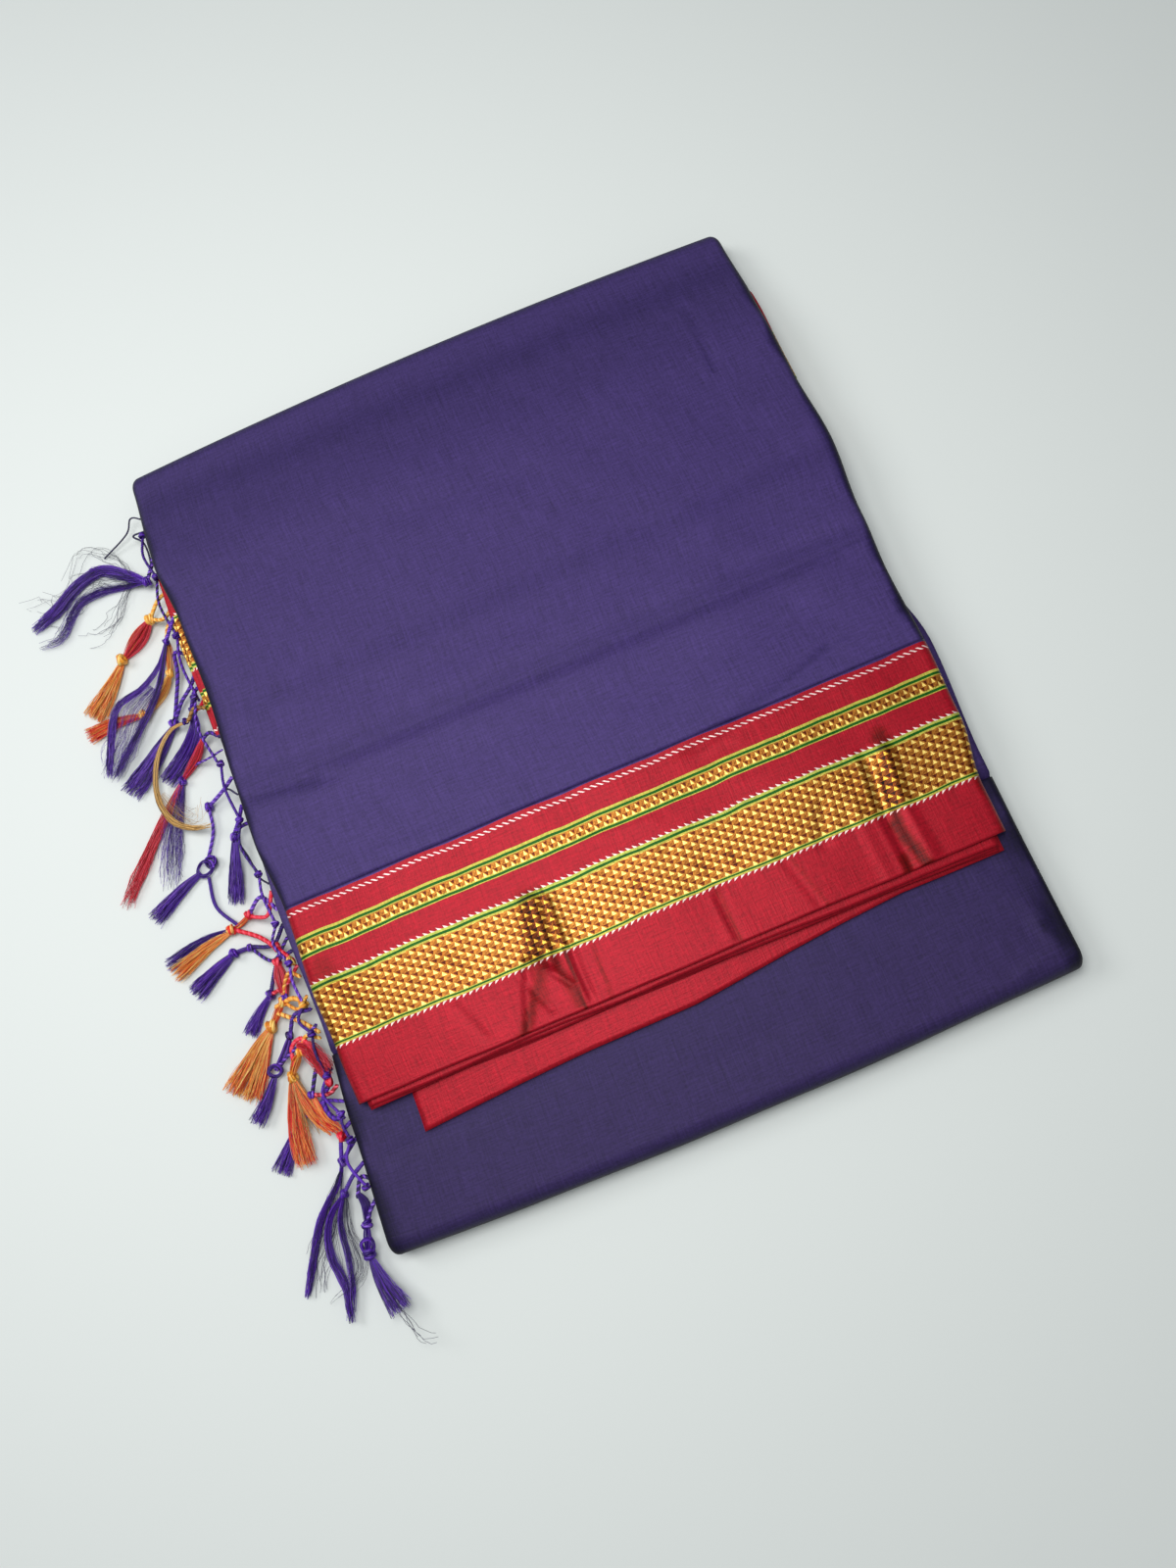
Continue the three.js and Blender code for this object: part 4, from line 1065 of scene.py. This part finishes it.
def make_knot(place, colour, seed, lift, radius=2.0, toward=(-1, 0), raised=0):
    """Two and a half turns of a soft strand about the cord, one turn crossing the others."""
    x, y = place
    along = np.array([*toward, 0.0]) / np.hypot(*toward)
    aside = np.array([-along[1], along[0], 0.0])
    t = np.linspace(0, 1, 40)[:, None]
    turn = WHOLE_TURN * 2.4 * t + seed
    wave = 0.55 * radius * np.sin(WHOLE_TURN * 1.2 * t + seed)
    radius = 1.4 * radius
    ring = 0.62 * radius
    centre = np.array([x, y, max(laid_height(x, lift + raised), radius + 0.6)])
    line = centre + along * wave + (aside * np.cos(turn) + np.array([0, 0, 1.0]) * np.sin(turn)) * ring
    return bundle(line * MM, colour, seed, threads=7, points=34, sides=4, thread_radius=0.2 * radius,
                  head=0.26 * radius, end=0.26 * radius, twist=9.0, evenness=0.8, **ROUND_AND_EVEN)


def make_ring(place, colour, seed, lift, radius=4.0):
    """A loose open loop of soft strand, as where a cord was knotted without pulling tight."""
    t = np.linspace(0, WHOLE_TURN * 1.12, 40)
    x = place[0] + radius * np.cos(t + seed) * (1 + 0.1 * np.sin(2 * t))
    y = place[1] + radius * np.sin(t + seed) * 0.9
    z = laid_height(place[0], lift) + 0.8 + 0.8 * np.sin(t * 1.5)
    line = np.stack([x, y, z], axis=-1)
    return bundle(line * MM, colour, seed, threads=16, points=40, thread_radius=0.3, head=0.9, end=0.9,
                  flatness=0.7, twist=5.0, ragged=0.0, wander=0.2)


# %% [markdown]
# Each row below is one tassel: its lift over the ones it crosses, then its parts. A path
# that starts near -174 starts at the edge of the cloth.

# %% The twenty-one tassels
def part(make):
    """Row of a tassel: path, colour and settings now, seed and lift when it is made."""
    return lambda path, colour="violet", **settings: partial(make, path, colour, **settings)


knot, cord, body, skirt, ring = map(part, (make_knot, make_cord, make_body, make_skirt, make_ring))
TASSELS = {
    1: (0, [
        cord([(-174, 191), (-181, 196), (-187, 190), (-204, 184)], "dark", thick=0.26),
        cord([(-174, 184), (-183, 186), (-178, 178), (-178, 166), (-183, 158)], "dark", thick=0.3),
        cord([(-174, 171), (-178, 164), (-184, 158)]),
        knot((-184, 158)),
        skirt([(-184, 158), (-194, 169), (-208, 178), (-225, 174), (-238, 166), (-254, 160)],
              threads=120, head=1.0, belly=1.2, end=3.2, points=20),
        skirt([(-184, 158), (-197, 163), (-211, 166), (-226, 164), (-240, 150), (-255, 150)],
              threads=50, head=1.0, belly=1.0, end=3, ragged=0.35, thread=0.1, wander=1.6, points=20),
        skirt([(-186, 159), (-199, 171), (-211, 180), (-216, 177)],
              threads=60, head=1.0, belly=1.2, end=1.6, ragged=0.3),
        skirt([(-190, 162), (-212, 174), (-236, 166), (-256, 176)],
              "dark", threads=16, head=3, end=15, thread=0.08, ragged=0.6, wander=11, flatness=0.5,
              points=30),
        skirt([(-192, 165), (-200, 182), (-214, 190), (-226, 178)],
              "dark", threads=7, head=2, end=7, thread=0.09, ragged=0.5, wander=6, points=26),
        skirt([(-194, 164), (-206, 152), (-222, 142), (-238, 146)],
              "dark", threads=9, head=2, end=7, thread=0.09, ragged=0.6, wander=7, points=26)]),
    2: (0, [
        cord([(-174, 146), (-182, 144), (-190, 138)], "gold"),
        cord([(-174, 136), (-182, 133), (-190, 138)], "gold"),
        knot((-190, 138), "gold", radius=2.2),
        body([(-190, 138), (-200, 131), (-211, 123.5)], "red", belly=3.6, threads=120),
        body([(-190, 138), (-201, 134), (-211, 124)], "orange", belly=1.4, threads=40),
        knot((-212, 123), "gold", radius=2.4),
        skirt([(-212, 123), (-220, 114), (-228, 106), (-237, 98)],
              "orange", threads=190, end=7, ragged=0.16)]),
    3: (0, [
        cord([(-174, 125), (-180, 128), (-184, 122)], "gold"),
        body([(-184, 122), (-186, 113), (-189, 104)], "orange", belly=1.6, threads=50),
        knot((-189, 104), "gold", radius=1.8),
        body([(-189, 104), (-197, 97), (-209, 89)], "gold", belly=2.6, threads=80),
        knot((-210, 89), "gold"),
        skirt([(-210, 89), (-224, 91), (-243, 90)], "ember", threads=130, end=4.6)]),
    4: (3, [
        cord([(-174, 129), (-178, 125), (-184, 119)]),
        knot((-184, 119), radius=1.5),
        skirt([(-184, 119), (-193, 110), (-206, 102), (-221, 98), (-229, 84), (-237, 62)],
              threads=60, head=0.8, belly=0.6, end=1.8, ragged=0.1, points=18),
        skirt([(-184, 119), (-198, 98), (-217, 78), (-235, 61)],
              threads=50, head=0.8, belly=0.8, end=1.8, ragged=0.1),
        skirt([(-200, 100), (-214, 92), (-226, 76), (-239, 60)],
              threads=44, head=4, belly=5, end=5, thread=0.07, ragged=0.3, wander=3, points=20)]),
    5: (0, [
        cord([(-174, 106), (-182, 112), (-185, 100), (-196, 78)]),
        cord([(-174, 96), (-180, 90), (-188, 86), (-196, 78)]),
        knot((-196, 77), radius=2.2),
        skirt([(-196, 77), (-206, 69), (-218, 59), (-231, 50)], threads=190, belly=0.8, end=6.4)]),
    6: (0, [
        cord([(-174, 88), (-179, 86), (-183, 80)]),
        cord([(-174, 80), (-179, 77), (-183, 79)], "red"),
        knot((-183, 78), radius=1.8),
        skirt([(-183, 78), (-186, 68), (-197, 58), (-211, 48)], threads=130, belly=1.2, end=5)]),
    7: (5, [
        cord([(-174, 73), (-180, 76), (-186, 72)], "tan"),
        knot((-188, 73), radius=1.4),
        skirt([(-186, 72), (-198, 73), (-208, 63), (-214, 49), (-215, 36), (-211, 25), (-202, 18),
               (-193, 16)],
              "tan", threads=46, head=0.7, belly=0.5, end=1.2, ragged=0.12, points=28, wander=0.5),
        skirt([(-213, 42), (-208, 30), (-200, 22), (-192, 36)],
              "tan", threads=14, head=2, end=9, thread=0.07, ragged=0.5, wander=3, points=18)]),
    8: (0, [
        cord([(-174, 58), (-178, 62), (-183, 61)]),
        body([(-183, 61), (-191, 54), (-201, 47)], "red", belly=1.7, threads=70),
        knot((-202, 46), radius=1.7),
        cord([(-174, 50), (-184, 50), (-194, 51), (-202, 46)], thick=0.34),
        skirt([(-202, 46), (-209, 39), (-219, 29), (-233, 14), (-251, -6)],
              "red", threads=80, belly=0.6, end=3.6, ragged=0.3, wander=1.6),
        skirt([(-202, 46), (-211, 30), (-219, 12), (-225, -6)],
              threads=60, belly=2.2, end=5.5, thread=0.09, ragged=0.35, wander=2.6, points=20)]),
    9: (0, [
        cord([(-174, 34), (-182, 30), (-193, 27)]),
        cord([(-174, 24), (-180, 30), (-193, 27)], "dark", thick=0.3),
        knot((-193, 27), radius=1.9),
        cord([(-193, 27), (-195, 14), (-203, 0)], thick=0.5),
        ring((-205, -3), radius=4.2),
        ring((-201, -1), radius=2.8),
        cord([(-205, -8), (-206, -24), (-198, -38)], thick=0.5),
        skirt([(-208, -4), (-219, -8), (-239, -18)], threads=140, end=5)]),
    10: (0, [
        cord([(-174, 18), (-178, 12), (-184, 6)]),
        cord([(-174, 8), (-179, 8), (-184, 6)]),
        knot((-184, 5), radius=1.9),
        skirt([(-184, 5), (-188, -6), (-196, -27)], threads=120, belly=0.6, end=4.2),
        cord([(-184, 5), (-180, -8), (-178, -20), (-174, -26)], "dark", thick=0.28)]),
    11: (0, [
        cord([(-201, -38.6), (-189, -48), (-181, -58), (-175, -67)], "red", thick=0.66, raised=1),
        knot((-181, -57), "red", radius=1.9),
        knot((-176, -67), "gold", raised=2),
        cord([(-174, -30), (-180, -40), (-187, -38), (-191, -35)], "red"),
        cord([(-174, -40), (-181, -30), (-191, -35)]),
        knot((-191, -35), "red", radius=1.9),
        body([(-191, -35), (-196, -37), (-202, -38.5)], "ember", belly=0.9),
        knot((-202, -38.5), "ember", radius=2.1),
        skirt([(-202, -38.5), (-218, -42), (-238, -49)], "orange", threads=130, end=5.2),
        skirt([(-202, -38.5), (-219, -38), (-240, -43)], threads=70, end=3.6)]),
    12: (0, [
        cord([(-174, -48), (-183, -55), (-195, -50.5)]),
        cord([(-174, -55), (-186, -62), (-196, -51)], thick=0.5),
        knot((-196, -50.5), radius=1.5),
        knot((-205, -50)),
        body([(-196, -50.5), (-205, -50)], belly=0.4, threads=30),
        skirt([(-205, -50), (-217, -55), (-231, -62)], threads=150, belly=0.5, end=5.5)]),
    13: (0, [
        knot((-184, -64), "red", radius=1.9),
        body([(-184, -64), (-185, -73), (-186, -82)], "red", belly=2.8, threads=90),
        knot((-186, -82), radius=1.8),
        cord([(-174, -62), (-184, -64), (-194, -77)]),
        cord([(-174, -70), (-183, -76), (-194, -77)], "red"),
        knot((-194, -77)),
        skirt([(-194, -77), (-202, -83), (-211, -92)], threads=90)]),
    14: (1, [
        cord([(-175, -90), (-182, -84), (-193, -84)], "gold", thick=0.7),
        cord([(-174, -105), (-181, -97), (-193, -87)], "gold", thick=0.62),
        knot((-177, -89), "gold", radius=1.9),
        cord([(-174, -76), (-180, -72), (-188, -82)], "gold", thick=0.55),
        cord([(-174, -86), (-181, -90), (-188, -83)], "gold", thick=0.5),
        knot((-188, -83), "gold", radius=2.1),
        body([(-188, -83), (-193, -87), (-198, -92)], "ember", belly=1.2),
        knot((-198, -92), "gold", radius=2.5),
        skirt([(-198, -92), (-205, -98), (-215, -108), (-225, -118)],
              "orange", threads=280, head=1.3, end=9.5, ragged=0.16),
        skirt([(-198, -92), (-203, -100), (-210, -112), (-217, -123)],
              "ember", threads=60, head=1.0, ragged=0.16)]),
    15: (2, [
        cord([(-174, -93), (-184, -92), (-190, -100)]),
        body([(-190, -100), (-196, -107), (-203, -113)], belly=1.2),
        knot((-190, -100), radius=1.7),
        ring((-203, -113), radius=2.9),
        cord([(-174, -101), (-186, -106), (-203, -112)], thick=0.5),
        skirt([(-204, -115), (-211, -124), (-221, -134)], threads=110, end=4.4)]),
    16: (3, [
        cord([(-193, -115), (-191, -106), (-184, -104), (-180, -112)], "red", thick=0.62),
        body([(-180, -110), (-178, -119), (-177, -129)], "red", belly=2.8, threads=100),
        knot((-177, -129), "red", radius=1.8),
        cord([(-174, -108), (-181, -104), (-187, -110)], "gold", thick=0.55),
        knot((-187, -110), "gold"),
        body([(-187, -110), (-192, -114), (-196, -119)], "orange", belly=1.4),
        knot((-196, -119), "gold", radius=2.3),
        skirt([(-196, -119), (-199, -132), (-202, -146), (-203, -162)],
              "ember", threads=170, head=1.2, belly=1.0, end=5.5),
        skirt([(-196, -119), (-194, -130), (-190, -142), (-182, -152)],
              "ember", threads=90, belly=0.8, end=3.2),
        skirt([(-196, -120), (-196, -134), (-194, -150)],
              "tan", threads=50, head=2, belly=2, end=6, thread=0.08, ragged=0.4, wander=1.5),
        skirt([(-187, -106), (-182, -110), (-179, -117), (-175, -125)],
              "red", threads=90, head=1.5, belly=2.2, end=2.5, wander=2.4, flatness=0.9, points=26)]),
    17: (2, [
        cord([(-177, -129), (-184, -136), (-182, -145), (-176, -147)], thick=0.7),
        knot((-181, -155), "red", radius=1.9),
        cord([(-174, -124), (-181, -120), (-189, -131)]),
        knot((-189, -131), radius=1.6),
        cord([(-174, -132), (-180, -134), (-189, -131)], "red"),
        skirt([(-189, -131), (-187, -142), (-180, -154)], "ember", threads=70, end=2.6)]),
    18: (-0.5, [
        cord([(-174, -140), (-186, -136), (-201, -141)], thick=0.5),
        knot((-201, -141), radius=1.5),
        skirt([(-201, -141), (-209, -150), (-218, -160)], threads=130, end=5)]),
    19: (0, [
        cord([(-174, -150), (-181, -154), (-186, -165)]),
        cord([(-174, -158), (-180, -162), (-186, -166)]),
        knot((-186, -166), radius=1.8),
        skirt([(-186, -166), (-191, -174), (-206, -187), (-216, -204), (-224, -218)],
              threads=60, head=0.8, belly=0.9, end=1.5, ragged=0.12, points=18),
        skirt([(-188, -170), (-202, -190), (-214, -206), (-220, -222)],
              "dark", threads=26, head=1, belly=3, end=5, thread=0.1, ragged=0.4, wander=3, points=22)]),
    20: (2, [
        cord([(-174, -170), (-182, -174), (-190, -180)]),
        knot((-190, -180), radius=1.7),
        skirt([(-190, -180), (-201, -188), (-206, -202), (-204, -220), (-207, -236)],
              threads=56, head=0.8, belly=0.9, end=1.4, ragged=0.1, points=18),
        skirt([(-190, -180), (-197, -192), (-199, -212), (-205, -234)],
              threads=30, head=0.7, belly=0.9, end=1.2, ragged=0.25, points=18),
        skirt([(-190, -182), (-196, -196), (-197, -214), (-214, -222)],
              "dark", threads=22, head=1, belly=3.5, end=5, thread=0.08, ragged=0.4, wander=3, points=22)]),
    21: (0, [
        cord([(-174, -178), (-179, -176), (-184, -184)]),
        body([(-183, -182), (-181, -189), (-184, -197)]),
        knot((-184, -197), toward=(0, -1)),
        cord([(-174, -187), (-180, -192), (-184, -197)]),
        body([(-184, -197), (-188, -208)], belly=1.0),
        ring((-187, -206), radius=3.2),
        knot((-188, -210), radius=2.3, toward=(0, -1)),
        skirt([(-188, -211), (-186, -223), (-181, -239)], threads=160, end=6),
        skirt([(-186, -222), (-181, -240), (-177, -250), (-166, -256)],
              "dark", threads=5, head=0.5, end=3, thread=0.11, ragged=0.3, wander=3, points=20)]),
}

EDGE_KNOTS = [180, 154, 118, 79, 42, 10, -20, -47, -68, -90, -105, -126, -145, -158, -181]
roots = {number: next(row.args[0][0][1] for row in rows if row.func is make_cord)
         for number, (_, rows) in TASSELS.items()}
for number, y in enumerate(EDGE_KNOTS):
    rows = TASSELS[min(roots, key=lambda tassel: abs(roots[tassel] - y))][1]
    shade = "gold" if -125 < y < -60 and number % 2 else "violet"
    rows.append(knot((-176.5, y), shade, radius=1.5, toward=(0.2, -1), raised=4))
    if number + 1 < len(EDGE_KNOTS):
        below = EDGE_KNOTS[number + 1]
        sway = 4 + 2 * math.sin(3 * number)
        rows.append(cord([(-176.5, y), (-176 - sway, 0.6 * y + 0.4 * below), (-176.5, below)],
                         thick=0.42, raised=3))

fringe = {}
for number, (lift, rows) in TASSELS.items():
    made = [row(seed=100 * (number - 1) + i, lift=lift) for i, row in enumerate(rows)]
    fringe[number] = join_pieces(f"knotted_tassel_{number:02d}", made)
faces = sum(len(piece.data.polygons) for piece in fringe.values())
print("fringe:", len(fringe), "tassels,", faces, "faces")

# %% [markdown]
# ## Which piece stands for which solid
# Every piece rides on the one body and takes the place of its plain solid, which is hidden.

# %% Frame declarations
def declare(piece, node):
    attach(piece, "root")
    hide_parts(node)


ORANGE_TASSELS, RED_TASSELS = (2, 3, 7, 11, 14), (8, 16, 17)

declare(body_top, "body_top_stretch")
declare(border_top, "border_top_stretch")
declare(body_lower, "body_lower_stretch")
declare(hidden, "hidden_layers")
layer_nodes = ["border_layer_second", "border_layer_third", "border_layer_fourth", "border_under_group"]
layer_sizes = [(0.335, 0.029), (0.335, 0.03), (0.335, 0.03), (0.62, 0.039)]
for piece, node, size in zip(border_layers, layer_nodes, layer_sizes):
    declare(piece, node)
declare(second_left, "second_border_left")
declare(second_right, "second_border_right")
for number, piece in fringe.items():
    colour = "orange" if number in ORANGE_TASSELS else "red" if number in RED_TASSELS else "violet"
    declare(piece, f"tassel_{number:02d}")

# %% [markdown]
# ## Table, light and camera
# The pack lies on a pale table under soft daylight from the upper left, and the camera
# looks almost straight down, turned a little, as the picture was taken.

# %% Table
HALF_FLOOR = 2.0
floor_mesh = bpy.data.meshes.new("floor")
corners = [(x * HALF_FLOOR, y * HALF_FLOOR, 0) for x, y in ((-1, -1), (1, -1), (1, 1), (-1, 1))]
floor_mesh.from_pydata(corners, [], [(0, 1, 2, 3)])
floor = add_object("floor", floor_mesh)
floor_paint, net, surface = new_material("pale table")
net.fill(surface, {"Base Color": seen(223, 228, 226), "Roughness": 0.85})
floor_mesh.materials.append(floor_paint)

# %% Light and camera
def area_light(name, place, target, size, power, colour):
    data = bpy.data.lights.new(name, "AREA")
    data.shape, data.size, data.energy, data.color = "DISK", size, power, colour
    lamp = add_object(name, data)
    lamp.location = place
    lamp.rotation_euler = (Vector(target) - Vector(place)).to_track_quat("-Z", "Y").to_euler()


area_light("window", (-0.95, 0.6, 1.0), (-0.05, -0.02, 0), 0.7, 7.2, (1.0, 1.0, 1.0))
area_light("ceiling", (-0.1, 0.03, 0.85), (-0.05, 0, 0), 0.5, 4.8, (1.0, 1.0, 0.98))
world = bpy.data.worlds.new("room light")
world.use_nodes = True
Net(world.node_tree).fill(world.node_tree.nodes["Background"].inputs,
                          {"Color": (0.93, 0.97, 1.0, 1), "Strength": 0.3})
bpy.context.scene.world = world

camera_data = bpy.data.cameras.new("camera")
camera_data.lens = 27.045
camera_data.sensor_width = 36
camera = add_object("camera", camera_data)
camera.location = (-0.0064, -0.1781, 0.5845)
camera.rotation_euler = Euler([math.radians(a) for a in (12.273, 5.153, -22.373)])
bpy.context.scene.camera = camera
bpy.context.scene.view_settings.view_transform = "Standard"
